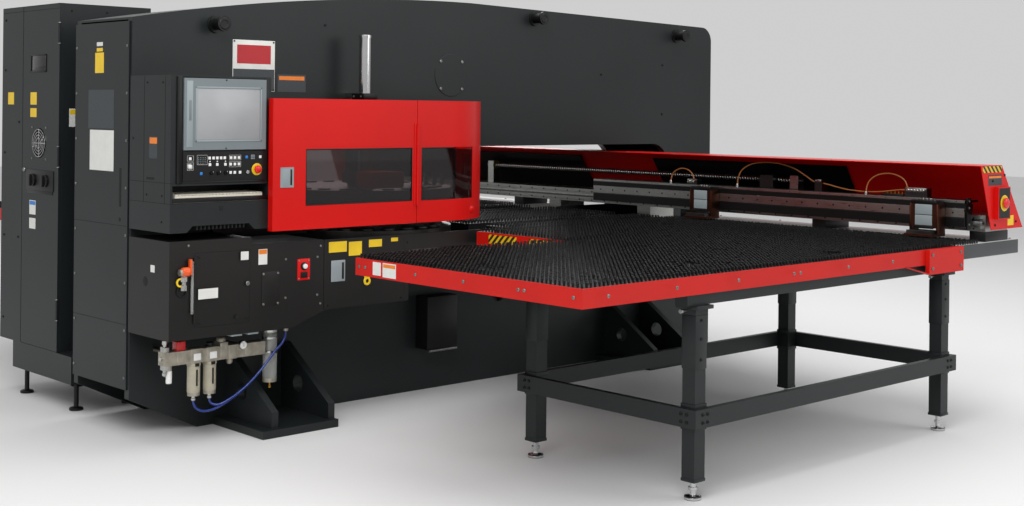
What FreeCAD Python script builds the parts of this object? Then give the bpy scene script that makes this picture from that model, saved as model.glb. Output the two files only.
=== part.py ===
"""CNC turret punch press with two moving brush tables, millimetres.

The long bridge frame runs along X. Every x in the sheet and in the calls below is measured from the
frame's left end, every y from the frame's mid-plane (the operator stands at -Y) and every z from the
floor. The document's origin is on the floor, under the middle of the frame, so x is shifted by half
the frame's length as each piece is placed.
"""
import FreeCAD, Part
import math
import os
import re
import Sketcher

SIZES = {
    # bridge frame: two side plates with a throat between an upper and a lower beam
    "frame_length": 4570, "frame_depth": 600, "plate": 45, "plate_height": 2306,
    "left_drop": 201, "right_drop": 46, "crown_at": 2260, "plate_corner": 100,
    "chamfer_run": 396, "chamfer_rise": 190, "throat_left": 560, "right_column": 463,
    "throat_low": 800, "throat_high": 1434, "throat_corner": 158, "tie": 60, "deck_sheet": 12,
    "end_cover": 8, "end_cover_low": 235, "end_cover_gap": 20,
    "foot_left_at": 490, "foot_right_at": 3400, "foot_length": 460, "foot_reach": 475, "foot_plate": 40,
    "gusset": 40, "gusset_reach": 440, "gusset_toe": 120, "gusset_top": 390, "gusset_shoulder": 28,
    "gusset_inset": 72, "gusset_hole": 45, "gusset_hole_out": 160, "gusset_hole_up": 185,
    "pin_radius": 30, "pin_length": 95, "pin_flange": 45, "pin_left_at": 479, "pin_mid_at": 2796,
    "pin_right_at": 4182, "pin_left_up": 2090, "pin_mid_up": 2238, "pin_right_up": 2187,
    # turret, ram and tools
    "pass_line": 985, "turret_at": 1635, "turret_radius": 560, "station_pitch": 470, "stations": 24,
    "lower_turret": 135, "lower_turret_drop": 10, "upper_turret": 188, "turret_gap": 37,
    "shaft_radius": 60, "shaft_clearance": 0.06, "thrust_radius": 100, "thrust": 36,
    "tool_radius": 34, "tool_rise": 8, "punch_radius": 26, "punch_head": 36, "punch_head_height": 8,
    "die_radius": 45, "die_rise": 9, "stroke": 37, "tool_clearance": 0.05, "punch_lift": 38,
    "ram_radius": 40, "ram_length": 330, "ram_gap": 0.3, "cylinder_half": 150, "cylinder_height": 420,
    # operator's console
    "console_length": 566, "console_depth": 400, "console_low": 1048, "console_high": 1810,
    "notch_left": 92, "notch_slope": 32, "notch_height": 31, "slot_low": 1192, "slot_high": 1275,
    "slot_margin": 12, "slot_depth": 240, "tray_depth": 200, "tray_sheet": 12, "keyboard_height": 22,
    "bezel_left": 65, "bezel_length": 464, "bezel_low": 1448, "bezel_high": 1797, "bezel_proud": 12,
    "screen_inset": 66, "screen_sunk": 5, "panel_low": 1296, "panel_high": 1440, "panel_proud": 4,
    "panel_pocket": 60, "panel_pocket_inset": 10, "stem_clearance": 0.3,
    "estop_at": 482, "estop_up": 1348, "estop_radius": 20, "estop_stem": 11, "estop_cap": 16,
    "estop_travel": 5, "start_at": 104, "start_up": 1368, "start_radius": 11, "start_travel": 3,
    "selector_first": 224, "selector_step": 40, "selector_up": 1335, "selector_radius": 10,
    "selector_proud": 14, "stem_length": 40,
    # lower console and the cover that runs under the guard
    "lower_length": 900, "lower_low": 530, "lower_high": 970, "lower_step": 458, "lower_step_high": 1008,
    "lower_slope_at": 706, "lower_slope_high": 599, "lower_wall": 20, "door_left": 140, "door_right": 450,
    "door_low": 585, "door_high": 945, "door_sheet": 8, "door_hinge": 6, "door_gap": 1,
    "side_length": 2000, "side_low": 605, "side_step": 1469, "side_strip_low": 885, "side_sheet": 14,
    "side_shelf_high": 780, "side_gap": 3,
    # red guard in front of the turret
    "guard_out": 450, "guard_low": 1035, "guard_high": 1705, "guard_sheet": 4, "guard_left": 547,
    "guard_split": 1480, "guard_gap": 4, "guard_straight": 1743, "window_left": 747, "window_right": 1916,
    "window_low": 1156, "window_high": 1447, "window_frame": 30, "pane": 5, "pane_gap": 0.6,
    "guard_post": 24, "guard_arm": 20, "handle_swing_gap": 1.2,
    "hinge_radius": 8, "hinge_low": 1130, "hinge_high": 1580,
    "handle_left": 592, "handle_right": 673, "handle_low": 1253, "handle_high": 1356,
    "handle_gap": 0.3, "handle_depth": 10, "handle_pin": 3, "return_depth": 40,
    # tables, brushes and legs
    "deck": 80, "brush": 20, "table_left": 540, "table_right": 3400, "table_out": 2620,
    "table_break": 1170, "table_inner_left": 1930, "skirt": 6, "corner_block": 340, "corner_proud": 24,
    "corner_low": 838, "plain_deck": 680, "plain_out": 2600, "leg": 70, "leg_left": 1290,
    "leg_right": 3300, "leg_outer": 2567, "leg_inner": 1600, "leg_top": 835, "leg_foot": 78,
    "spindle": 12, "pad_radius": 37, "pad_height": 14, "brace_low": 315, "brace_high": 395, "brace": 30,
    "leg_rail_left": 1200, "leg_rail_right": 3400, "slide_gap": 0.3,
    "centre_left": 2230, "centre_right": 3560, "centre_half": 330, "strip_near": 190, "strip_far": 420,
    "riser": 60,
    # guides of the carriage base, outside the side plates
    "guide_left": 1900, "guide_right": 4400, "guide_out": 300, "guide_low": 700, "guide_high": 820,
    "rail_near": 105, "rail_width": 35, "rail_height": 25, "rail_left": 2300, "rail_right": 4300,
    # cross beam, carriage, clamps, screw and cover
    "beam_at": 3720, "beam_width": 240, "beam_low": 1020, "beam_high": 1110, "beam_half": 2900,
    "beam_rail": 20, "bar_at": 3620, "bar_low": 1045, "bar_high": 1190, "bar_front": 2830,
    "bar_length": 2780, "bar_flange": 12, "bar_flange_right": 3765, "screw_at": 3820, "screw_up": 1240,
    "screw_radius": 16, "screw_front": 1589, "screw_rear": 1187, "block": 60, "block_half": 30,
    "manifold_width": 50, "line_socket": 7, "line_radius": 4, "nut_at": 1450,
    "nut_length": 100, "saddle_foot_near": 65, "saddle_foot_far": 180,
    "clamp_front_at": 2630, "clamp_rear_at": 1060, "clamp_width": 170, "clamp_reach": 80,
    "clamp_low": 990, "clamp_head_low": 1034, "clamp_high": 1170, "cheek": 10, "jaw_reach": 140,
    "jaw_low": 1003.3, "jaw": 18, "lower_jaw": 13, "jaw_pin_back": 30,
    "cover_half": 2950, "cover_low": 1035, "cover_high": 1385, "cover_top_left": 3570,
    "cover_top_right": 3800, "cover_bottom_left": 3690, "cover_bottom_right": 4040, "cover_sheet": 4,
    "cap_estop_at": 3787, "cap_estop_up": 1179, "cap_estop_radius": 30,
    "cap_box_half": 88, "cap_box_proud": 24, "cover_rear_more": 45,
    # electrical cabinet behind the frame
    "cabinet_left": 50, "cabinet_length": 550, "cabinet_near": 600, "cabinet_width": 740,
    "cabinet_low": 300, "cabinet_high": 2220, "cabinet_wall": 20, "cabinet_door_width": 460,
    "cabinet_door_sheet": 18, "base_low": 150, "base_short": 70, "base_near": 420, "base_back": 1160,
    "foot_stem": 12, "duct_width": 160, "duct_low": 1850, "duct_height": 120, "foot_pad": 37,
    "foot_pad_height": 12, "fan_up": 1445, "fan_at": 845, "fan_radius": 78,
    "fan_gap": 6, "fan_hub": 24, "fan_web": 16, "breaker_up": 1236, "breaker_near": 748,
    "breaker_far": 908, "breaker_radius": 36, "breaker_proud": 30, "breaker_stem": 9,
    # exhaust tube and air unit
    "tube_at": 1345, "tube_out": 150, "tube_radius": 32, "tube_low": 1250, "tube_high": 2065,
    "tube_bracket_up": 1720, "tube_bracket": 24,
    "air_out": 300, "bowl_first": 196, "bowl_step": 90, "bowl_radius": 31, "bowl_low": 235,
    "bowl_height": 165, "air_body_low": 400, "air_body": 66, "air_left": 20, "air_right": 590,
    "drain": 9, "drain_height": 26, "muffler_at": 60, "muffler_radius": 14, "muffler_low": 310,
    "bottle_at": 639, "bottle_radius": 36, "bottle_low": 250, "air_bracket": 12,
    "lockout_at": 70, "lockout_up": 860, "lockout_radius": 16, "lever_length": 62, "lever": 12,
    "hose_radius": 6, "hose_end_at": 700, "hose_end_out": 352, "hose_fitting": 20,
}

doc = FreeCAD.newDocument("turret_punch_press")
sheet = doc.addObject("Spreadsheet::Sheet", "Sizes")
for row, (word, number) in enumerate(SIZES.items(), start=1):
    sheet.set(f"A{row}", word)
    sheet.set(f"B{row}", str(number))
    sheet.setAlias(f"B{row}", word)
doc.recompute()

NODES = {}
UP, ALONG, ACROSS = FreeCAD.Vector(0, 0, 1), FreeCAD.Vector(1, 0, 0), FreeCAD.Vector(0, 1, 0)
TURNS = {"x": FreeCAD.Rotation(UP, ALONG), "y": FreeCAD.Rotation(UP, ACROSS), "z": FreeCAD.Rotation()}


def bound(text):
    """The expression with every named size written as a cell of the sheet."""
    return re.sub(r"[a-z][a-z_]*", lambda m: "Sizes." + m.group(0) if m.group(0) in SIZES else m.group(0),
                  str(text))


def value(text):
    """The expression's value in millimetres."""
    return float(sheet.evalExpression(bound(text)))


def place(piece, x, y, z):
    """Bind a piece's corner or centre; x is counted from the frame's left end."""
    piece.setExpression("Placement.Base.x", bound(f"{x} - frame_length / 2"))
    piece.setExpression("Placement.Base.y", bound(y))
    piece.setExpression("Placement.Base.z", bound(z))
    return piece


def box(x, y, z):
    """A block between two expressions on each axis."""
    piece = doc.addObject("Part::Box", "block")
    for side, (low, high) in zip(("Length", "Width", "Height"), (x, y, z)):
        piece.setExpression(side, bound(f"({high}) - ({low})"))
    return place(piece, x[0], y[0], z[0])


def rod(axis, centre, radius, length):
    """A round bar that starts at its centre point and runs along +axis."""
    piece = doc.addObject("Part::Cylinder", "bar")
    piece.Placement = FreeCAD.Placement(FreeCAD.Vector(), TURNS[axis])
    piece.setExpression("Radius", bound(radius))
    piece.setExpression("Height", bound(length))
    return place(piece, *centre)


def fuse(*pieces):
    """One solid from pieces that are welded, cast or bonded together."""
    joined = doc.addObject("Part::MultiFuse", "joined")
    joined.Shapes = list(pieces)
    return joined


def cut(piece, *tools):
    """A piece with holes, slots or openings taken out."""
    result = doc.addObject("Part::Cut", "cut")
    result.Base = piece
    result.Tool = tools[0] if len(tools) == 1 else fuse(*tools)
    return result


def group(*pieces):
    """Several separate solids that make one node."""
    joined = doc.addObject("Part::Compound", "set")
    joined.Links = list(pieces)
    return joined


def mirrored(piece):
    """The same piece on the other side of the frame's mid-plane."""
    twin = doc.addObject("Part::Mirroring", "twin")
    twin.Source = piece
    twin.Normal = ACROSS
    return twin


def node(name, piece):
    """Register a finished sub-part under its name."""
    piece.Label = name
    NODES[name] = piece
    return piece


def sketch(body, role, corners, arcs=()):
    """A closed outline on one of the body's planes; arcs maps an edge to its centre's first coordinate."""
    arcs = dict(arcs)
    outline = body.newObject("Sketcher::SketchObject", "outline")
    plane = next(item for item in body.Origin.OriginFeatures if item.Role == role)
    outline.AttachmentSupport = [(plane, "")]
    outline.MapMode = "FlatFace"
    points = [FreeCAD.Vector(value(first), value(second), 0) for first, second in corners]
    for index, start in enumerate(points):
        end = points[(index + 1) % len(points)]
        if index not in arcs:
            outline.addGeometry(Part.LineSegment(start, end))
            continue
        first = value(arcs[index])
        middle = (start + end) / 2
        second = middle.y - (first - middle.x) * (end.x - start.x) / (end.y - start.y)
        centre = FreeCAD.Vector(first, second, 0)
        circle = Part.Circle(centre, UP, centre.distanceToPoint(start))
        angles = [math.atan2(point.y - second, point.x - first) for point in (start, end)]
        outline.addGeometry(Part.ArcOfCircle(circle, *angles))
    for index in range(len(points)):
        follower = (index + 1) % len(points)
        outline.addConstraint(Sketcher.Constraint("Coincident", index, 2, follower, 1))
    for index, corner in enumerate(corners):
        for kind, text, number in zip(("DistanceX", "DistanceY"), corner, points[index]):
            rule = outline.addConstraint(Sketcher.Constraint(kind, -1, 1, index, 1, number))
            outline.setExpression(f"Constraints[{rule}]", bound(text))
    for index, text in arcs.items():
        rule = outline.addConstraint(Sketcher.Constraint("DistanceX", -1, 1, index, 3, value(text)))
        outline.setExpression(f"Constraints[{rule}]", bound(text))
    return outline


def plate_body(role, corners, thickness, arcs=()):
    """A flat plate padded half to each side of the plane of its outline."""
    body = doc.addObject("PartDesign::Body", "plate_body")
    outline = sketch(body, role, corners, arcs)
    pad = body.newObject("PartDesign::Pad", "pad")
    pad.Profile = outline
    pad.Midplane = True
    pad.setExpression("Length", bound(thickness))
    return body


def pocket(body, role, corners):
    """An opening right through a plate body."""
    opening = body.newObject("PartDesign::Pocket", "opening")
    opening.Profile = sketch(body, role, corners)
    opening.Type = "ThroughAll"
    opening.Midplane = True
    return opening


def round_corners(body, radius, places):
    """Fillet the edges that run across the plate at the given (first, second) places."""
    doc.recompute()
    tip = body.Tip
    spots = [(value(first), value(second)) for first, second in places]
    names = [
        f"Edge{index + 1}" for index, edge in enumerate(tip.Shape.Edges)
        if any(abs(edge.CenterOfMass.x - first) < 1 and abs(edge.CenterOfMass.z - second) < 1
               for first, second in spots)
    ]
    fillet = body.newObject("PartDesign::Fillet", "fillet")
    fillet.Base = (tip, names)
    fillet.setExpression("Radius", bound(radius))
    return fillet


HALF = "frame_depth / 2"
THROAT_RIGHT = "(frame_length - right_column)"


def out(distance):
    """y at a distance out from the front plate's face."""
    return f"(-{HALF} - ({distance}))"


# ---- bridge frame ----

def build_frame():
    """Side plates, ties, decks and the left end's cover."""
    right_high = "plate_height - right_drop"
    plate = plate_body("XZ_Plane", [
        ("chamfer_run", 0), ("frame_length", 0), ("frame_length", right_high), ("crown_at", "plate_height"),
        ("end_cover", "plate_height - left_drop"), ("end_cover", "chamfer_rise")], "plate", {3: "crown_at"})
    doc.recompute()
    pocket(plate, "XZ_Plane", [("throat_left", "throat_low"), (THROAT_RIGHT, "throat_low"),
                               (THROAT_RIGHT, "throat_high"), ("throat_left", "throat_high")])
    round_corners(plate, "plate_corner", [("frame_length", right_high)])
    round_corners(plate, "throat_corner", [(THROAT_RIGHT, "throat_high")])
    place(plate, 0, f"plate / 2 - {HALF}", 0)
    node("front_plate", plate)
    node("rear_plate", mirrored(plate))
    inner = (f"plate - {HALF}", f"{HALF} - plate")
    ram_at = "turret_at + station_pitch"
    upper = box(("plate + end_cover", "frame_length - plate"), inner, ("throat_high", "throat_high + tie"))
    bores = [rod("z", (at, 0, "throat_high - 1"), f"{radius}", "tie + 2") for at, radius in
             (("turret_at", "shaft_radius + shaft_clearance"), (ram_at, "ram_radius + tool_clearance"))]
    upper = cut(upper, *bores)
    lower = box(("plate + end_cover", "frame_length - plate"), inner, ("throat_low - tie", "throat_low"))
    lower = cut(lower, rod("z", ("turret_at", 0, "throat_low - tie - 1"), "shaft_radius + shaft_clearance",
                           "tie + 2"))
    left_tie = [box(("end_cover", "end_cover + plate"), inner, span) for span in
                (("end_cover_low", "throat_low - tie"), ("throat_low", "throat_high"),
                 ("throat_high + tie", "plate_height - left_drop - plate"))]
    right_tie = [box(("frame_length - plate", "frame_length"), inner, span) for span in
                 (("tie", "throat_low - tie"), ("throat_low", "throat_high"),
                  ("throat_high + tie", f"{right_high} - plate_corner"))]
    node("frame_ties", group(upper, lower, *left_tie, *right_tie))
    crown = [plate_body("XZ_Plane", [
        ("end_cover", f"throat_high + {drop}"), ("frame_length - plate_corner", f"throat_high + {drop}"),
        ("frame_length - plate_corner", f"{right_high} - {drop}"), ("crown_at", f"plate_height - {drop}"),
        ("end_cover", f"plate_height - left_drop - {drop}")], f"frame_depth - 2 * plate", {3: "crown_at"})
        for drop in ("0", "deck_sheet")]
    for body in crown:
        place(body, 0, 0, 0)
    whole = box(("end_cover", "frame_length - plate_corner"), inner,
                ("plate_height - left_drop - 2 * deck_sheet", "plate_height + 1"))
    deck = doc.addObject("Part::MultiCommon", "crown_part")
    deck.Shapes = [crown[0], whole]
    node("top_deck", cut(deck, crown[1]))
    node("end_cover", box((0, "end_cover"), (f"end_cover_gap - {HALF}", HALF),
                          ("end_cover_low", "plate_height - left_drop - end_cover_gap")))


def build_feet():
    """Floor plates with two drilled gussets each, welded to the side plates."""
    feet = []
    for at in ("foot_left_at", "foot_right_at"):
        base = box((at, f"{at} + foot_length"), (HALF, f"{HALF} + foot_reach"), (0, "foot_plate"))
        webs = []
        for start in (f"{at} + gusset_inset", f"{at} + foot_length - gusset"):
            web = plate_body("YZ_Plane", [
                (HALF, 0), (f"{HALF} + gusset_reach", 0), (f"{HALF} + gusset_reach", "gusset_toe"),
                (f"{HALF} + gusset_shoulder", "gusset_top"), (HALF, "gusset_top")], "gusset")
            place(web, f"{start} + gusset / 2", 0, 0)
            hole = rod("x", (f"{start} - 1", f"{HALF} + gusset_hole_out", "gusset_hole_up"), "gusset_hole",
                       "gusset + 2")
            webs.append(cut(web, hole))
        feet.append(fuse(base, *webs))
    rear = node("rear_feet", group(*feet))
    node("front_feet", mirrored(rear))


def build_lifting_pins():
    """Flanged pins on both side plates for the lifting slings."""
    pins = []
    for spot in ("left", "mid", "right"):
        at, up = f"pin_{spot}_at", f"pin_{spot}_up"
        flange = rod("y", (at, HALF, up), "pin_flange", 12)
        shank = rod("y", (at, HALF, up), "pin_radius", "pin_length")
        cap = rod("y", (at, f"{HALF} + pin_length - 18", up), "pin_radius + 10", 18)
        pin = fuse(flange, shank, cap)
        pins += [pin, mirrored(pin)]
    node("lifting_pins", group(*pins))


# ---- turret, ram and tools ----

LOWER_TOP = "(pass_line - lower_turret_drop)"
UPPER_LOW = "(pass_line + turret_gap - lower_turret_drop)"
UPPER_TOP = f"({UPPER_LOW} + upper_turret)"
RAM_AT = "turret_at + station_pitch"


def build_turret():
    """Upper and lower turret discs on their shafts, with the tools that stand in them."""
    lower_low = f"({LOWER_TOP} - lower_turret)"
    disc = rod("z", ("turret_at", 0, lower_low), "turret_radius", "lower_turret")
    shaft = rod("z", ("turret_at", 0, "throat_low - 2 * tie"), "shaft_radius",
                f"{lower_low} - throat_low + 2 * tie")
    collar = rod("z", ("turret_at", 0, "throat_low + slide_gap"), "thrust_radius",
                 f"{lower_low} - throat_low - slide_gap")
    lower = fuse(disc, shaft, collar)
    upper = rod("z", ("turret_at", 0, UPPER_LOW), "turret_radius", "upper_turret")
    top_shaft = rod("z", ("turret_at", 0, UPPER_TOP), "shaft_radius",
                    f"throat_high + tie + thrust - {UPPER_TOP}")
    top_collar = rod("z", ("turret_at", 0, "throat_high + tie + slide_gap"), "thrust_radius", "thrust")
    upper = fuse(upper, top_shaft, top_collar)
    tools, dies = [], []
    for station in range(int(value("stations"))):
        turn = 360 * station / value("stations")
        spot = (f"turret_at + station_pitch * cos({turn})", f"station_pitch * sin({turn})")
        dies.append(rod("z", (*spot, LOWER_TOP), "die_radius", "die_rise"))
        if station:
            tools.append(rod("z", (*spot, UPPER_TOP), "tool_radius", "tool_rise"))
    node("tool_heads", group(*tools))
    die_bore = rod("z", (RAM_AT, 0, f"{LOWER_TOP} - stroke"), "punch_radius + 1", "stroke + die_rise + 1")
    node("lower_turret", cut(fuse(lower, *dies), die_bore))
    punch_bore = rod("z", (RAM_AT, 0, f"{UPPER_LOW} - 1"), "punch_radius + tool_clearance",
                     "upper_turret + 2")
    node("upper_turret", cut(upper, punch_bore))
    head_low = f"({UPPER_TOP} + stroke + 1)"
    punch = rod("z", (RAM_AT, 0, "pass_line + punch_lift"), "punch_radius",
                f"{head_low} - pass_line - punch_lift")
    head = rod("z", (RAM_AT, 0, head_low), "punch_head", "punch_head_height")
    node("active_punch", fuse(punch, head))
    ram_low = f"({head_low} + punch_head_height + ram_gap)"
    node("ram", rod("z", (RAM_AT, 0, ram_low), "ram_radius", "ram_length"))
    square = [(f"{RAM_AT} - cylinder_half", f"{RAM_AT} + cylinder_half"), ("-cylinder_half", "cylinder_half")]
    housing = box(*square, ("throat_high + tie", "throat_high + tie + cylinder_height"))
    bore = rod("z", (RAM_AT, 0, "throat_high + tie - 1"), "ram_radius + tool_clearance",
               f"{ram_low} + ram_length + 10 - throat_high - tie")
    node("ram_cylinder", cut(housing, bore))


# ---- operator's console ----

def front_button(at, up, radius, stem, cap, travel, name):
    """A push button whose stem runs through the panel into the pocket behind it."""
    face = out("console_depth + panel_proud")
    knob = rod("y", (at, f"{face} - {travel} - {cap}", up), radius, cap)
    shank = rod("y", (at, f"{face} - {travel} - 1", up), stem, f"stem_length + {travel} + 1")
    node(name, fuse(knob, shank))


def build_console():
    """Console housing, screen, control panel with its buttons, and the keyboard drawer."""
    housing = plate_body("XZ_Plane", [
        (0, "console_low"), ("notch_left", "console_low"),
        ("notch_left + notch_slope", "console_low + notch_height"),
        ("console_length - notch_left + slide_gap - notch_slope", "console_low + notch_height"),
        ("console_length - notch_left + slide_gap", "console_low"), ("console_length", "console_low"),
        ("console_length", "console_high"), (0, "console_high")], "console_depth")
    place(housing, 0, out("console_depth / 2"), 0)
    front = out("console_depth")
    slot = box(("slot_margin", "console_length - slot_margin"), (f"{front} - 1", f"{front} + slot_depth"),
               ("slot_low", "slot_high"))
    panel_x = ("bezel_left", "bezel_left + bezel_length")
    behind = box(("bezel_left + panel_pocket_inset", "bezel_left + bezel_length - panel_pocket_inset"),
                 (f"{front} - 1", f"{front} + panel_pocket"),
                 ("panel_low + panel_pocket_inset", "panel_high - panel_pocket_inset"))
    node("console_housing", cut(housing, slot, behind))
    bezel = box(panel_x, (f"{front} - bezel_proud", front), ("bezel_low", "bezel_high"))
    glass = box(("bezel_left + screen_inset", "bezel_left + bezel_length - screen_inset / 2"),
                (f"{front} - bezel_proud - 1", f"{front} - bezel_proud + screen_sunk"),
                ("bezel_low + screen_inset * 0.7", "bezel_high - screen_inset * 0.7"))
    node("console_screen", cut(bezel, glass))
    panel = box(panel_x, (f"{front} - panel_proud", front), ("panel_low", "panel_high"))
    selectors = [f"selector_first + {step} * selector_step" for step in range(3)]
    through = [("estop_at", "estop_up", "estop_stem"), ("start_at", "start_up", "start_radius")]
    through += [(at, "selector_up", "selector_radius") for at in selectors]
    holes = [rod("y", (at, f"{front} - panel_proud - 1", up), f"{radius} + stem_clearance", "panel_proud + 2")
             for at, up, radius in through]
    node("control_panel", cut(panel, *holes))
    front_button("estop_at", "estop_up", "estop_radius", "estop_stem", "estop_cap", "estop_travel",
                 "console_estop")
    front_button("start_at", "start_up", "start_radius", "start_radius", 2, "start_travel", "start_button")
    for step, at in enumerate(selectors, start=1):
        shank = rod("y", (at, f"{front} - panel_proud - selector_proud", "selector_up"), "selector_radius",
                    "selector_proud + stem_length")
        node(f"selector_{step}", shank)
    tray_x = ("slot_margin + 8", "console_length - slot_margin - 8")
    tray = box(tray_x, (f"{front} + 4", f"{front} + tray_depth"),
               ("slot_low + slide_gap", "slot_low + slide_gap + tray_sheet"))
    keys = box(("slot_margin + 20", "console_length - slot_margin - 30"),
               (f"{front} + 10", f"{front} + tray_depth - 20"),
               ("slot_low + slide_gap + tray_sheet", "slot_low + slide_gap + tray_sheet + keyboard_height"))
    node("keyboard_tray", group(tray, keys))


def build_lower_covers():
    """Lower console with its door, and the cover that runs on under the guard."""
    shell = plate_body("XZ_Plane", [
        (0, "lower_low"), ("lower_slope_at", "lower_low"), ("lower_length", "lower_slope_high"),
        ("lower_length", "lower_high"), ("lower_step", "lower_high"), ("lower_step", "lower_step_high"),
        (0, "lower_step_high")], "console_depth")
    place(shell, 0, out("console_depth / 2"), 0)
    front = out("console_depth")
    inside = box(("door_left + 10", "door_right - 10"), (f"{front} - 1", out("lower_wall")),
                 ("door_low + 10", "door_high - 10"))
    seat = box(("door_left - door_gap", "door_right + door_gap"), (f"{front} - 1", f"{front} + door_sheet"),
               ("door_low - door_gap", "door_high + door_gap"))
    node("lower_console", cut(shell, inside, seat))
    leaf = box(("door_left", "door_right"), (front, f"{front} + door_sheet - slide_gap"),
               ("door_low", "door_high"))
    pin = rod("z", ("door_left - door_hinge", f"{front} - door_hinge", "door_low + 20"), "door_hinge - 1",
              "door_high - door_low - 40")
    strap = box(("door_left - door_hinge", "door_left + 12"), (f"{front} - 3", front),
                ("door_low + 20", "door_high - 20"))
    node("lower_door", fuse(leaf, pin, strap))
    sheet_y = (front, f"{front} + side_sheet")
    left = "lower_length + side_gap"
    strip = box((left, "side_length"), sheet_y, ("side_strip_low", "lower_high"))
    apron = box((left, "side_step"), sheet_y, ("side_low", "side_strip_low"))
    shelf = box((left, "side_step"), (front, out(0)), ("side_low", "side_shelf_high"))
    node("side_cover", fuse(strip, apron, shelf))
    axle_y = f"{front} - lockout_radius - 1"
    axle = rod("x", ("lockout_at - 26", axle_y, "lockout_up"), "lockout_radius", 52)
    stem = rod("z", ("lockout_at", axle_y, "lockout_up - 90"), "lockout_radius / 2", 90)
    saddle = box(("lockout_at - 10", "lockout_at + 10"), (f"{front} - 10", front),
                 ("lockout_up - 90", "lockout_up - 60"))
    node("shutoff_valve", fuse(axle, stem, saddle))
    hub = "lockout_at + 26 + slide_gap"
    lever = box((hub, f"{hub} + lever"), (f"{axle_y} - lever", f"{axle_y} + 5"),
                ("lockout_up - lever", "lockout_up + lever_length"))
    node("valve_lever", lever)


# ---- red guard ----

def arc_shell(outside, thickness, low, high):
    """A quarter of an upright tube about the guard's curve centre, on the front plate's face."""
    quarter = []
    for radius in (outside, f"{outside} - ({thickness})"):
        piece = rod("z", ("guard_straight", f"-{HALF}", low), radius, f"{high} - {low}")
        piece.Placement.Rotation = FreeCAD.Rotation(UP, -90)
        piece.Angle = 90
        quarter.append(piece)
    return cut(*quarter)


def build_guard():
    """Fixed curved part of the guard, its hinged door, the smoked panes and the flush handle."""
    face, inner = out("guard_out"), f"{out('guard_out')} + guard_sheet"
    fixed_left = "guard_split + guard_gap / 2"
    rise = ("guard_low", "guard_high")
    flat = box((fixed_left, "guard_straight"), (face, inner), rise)
    curve = arc_shell("guard_out", "guard_sheet", *rise)
    post = box((fixed_left, f"{fixed_left} + guard_post"), (inner, f"{inner} + guard_post"), rise)
    arms = [box((fixed_left, f"{fixed_left} + guard_post"), (inner, out(0)), (low, f"{low} + guard_arm"))
            for low in ("guard_high - guard_arm", "window_high + guard_arm")]
    foot = "guard_straight + guard_out"
    flange = box((f"{foot} - 40", foot), (f"{out(0)} - 3", out(0)), rise)
    window = box((f"{fixed_left} + window_frame", "window_right"), (f"{face} - 1", f"{face} + guard_out / 2"),
                 ("window_low", "window_high"))
    node("guard_fixed", cut(fuse(flat, curve, post, *arms, flange), window))
    pane_z = ("window_low - 10", "window_high + 10")
    back = "(guard_sheet + pane_gap)"
    pane = box((f"{fixed_left} + guard_post + 1", "guard_straight"),
               (f"{face} + {back}", f"{face} + {back} + pane"), pane_z)
    bow = doc.addObject("Part::MultiCommon", "bow")
    bow.Shapes = [arc_shell(f"guard_out - {back}", "pane", *pane_z),
                  box(("guard_straight", "window_right + 10"), (face, f"{face} + guard_out / 2"), pane_z)]
    node("fixed_window", fuse(pane, bow))
    door_right = "guard_split - guard_gap / 2"
    leaf = box(("guard_left", door_right), (face, inner), rise)
    back_fold = box(("guard_left", "guard_left + guard_sheet"), (face, f"{face} + return_depth"), rise)
    barrel = rod("z", ("guard_split", f"{face} - hinge_radius", "hinge_low"), "hinge_radius",
                 "hinge_high - hinge_low")
    knuckle = box((f"{door_right} - 20", door_right), (f"{face} - 4", face), ("hinge_low", "hinge_high"))
    opening = box(("window_left", f"{door_right} - window_frame"), (f"{face} - 1", f"{inner} + 1"),
                  ("window_low", "window_high"))
    cup = box(("handle_left", "handle_right"), (f"{face} - 1", f"{inner} + 1"), ("handle_low", "handle_high"))
    node("guard_door", cut(fuse(leaf, back_fold, barrel, knuckle), opening, cup))
    node("door_window", box(("window_left - 10", f"{door_right} - window_frame + 10"),
                            (f"{face} + {back}", f"{face} + {back} + pane"), pane_z))
    edge = "handle_left + handle_gap + handle_pin"
    shut = (f"{face} - handle_pin", f"{face} - handle_pin + handle_depth")
    grip = box((edge, "handle_right - handle_swing_gap"), shut,
               ("handle_low + handle_gap", "handle_high - handle_gap"))
    pin = rod("z", (edge, face, "handle_low + handle_gap"), "handle_pin",
              "handle_high - handle_low - 2 * handle_gap")
    node("guard_handle", fuse(grip, pin))


# ---- tables and legs ----

DECK_TOP = "(pass_line - brush)"
DECK_LOW = f"({DECK_TOP} - deck)"


def both_sides(build):
    """The pieces that build returns for the front, and their twins behind the frame."""
    pieces = build()
    return group(*pieces, *[mirrored(piece) for piece in pieces])


def table_panels(z):
    """The L of one moving table as two rectangles, front strip and inner part."""
    return [box(("table_left", "table_right"), (out("table_out"), out("table_break")), z),
            box(("table_inner_left", "table_right"), (out("table_break"), out("guard_out")), z)]


def centre_panels(z):
    """The fixed table between the side plates and the narrow strips in front of and behind it."""
    span = ("centre_left", "centre_right")
    strip = box(span, (out("strip_far"), out("strip_near")), z)
    return [box(span, ("-centre_half", "centre_half"), z), strip, mirrored(strip)]


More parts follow.
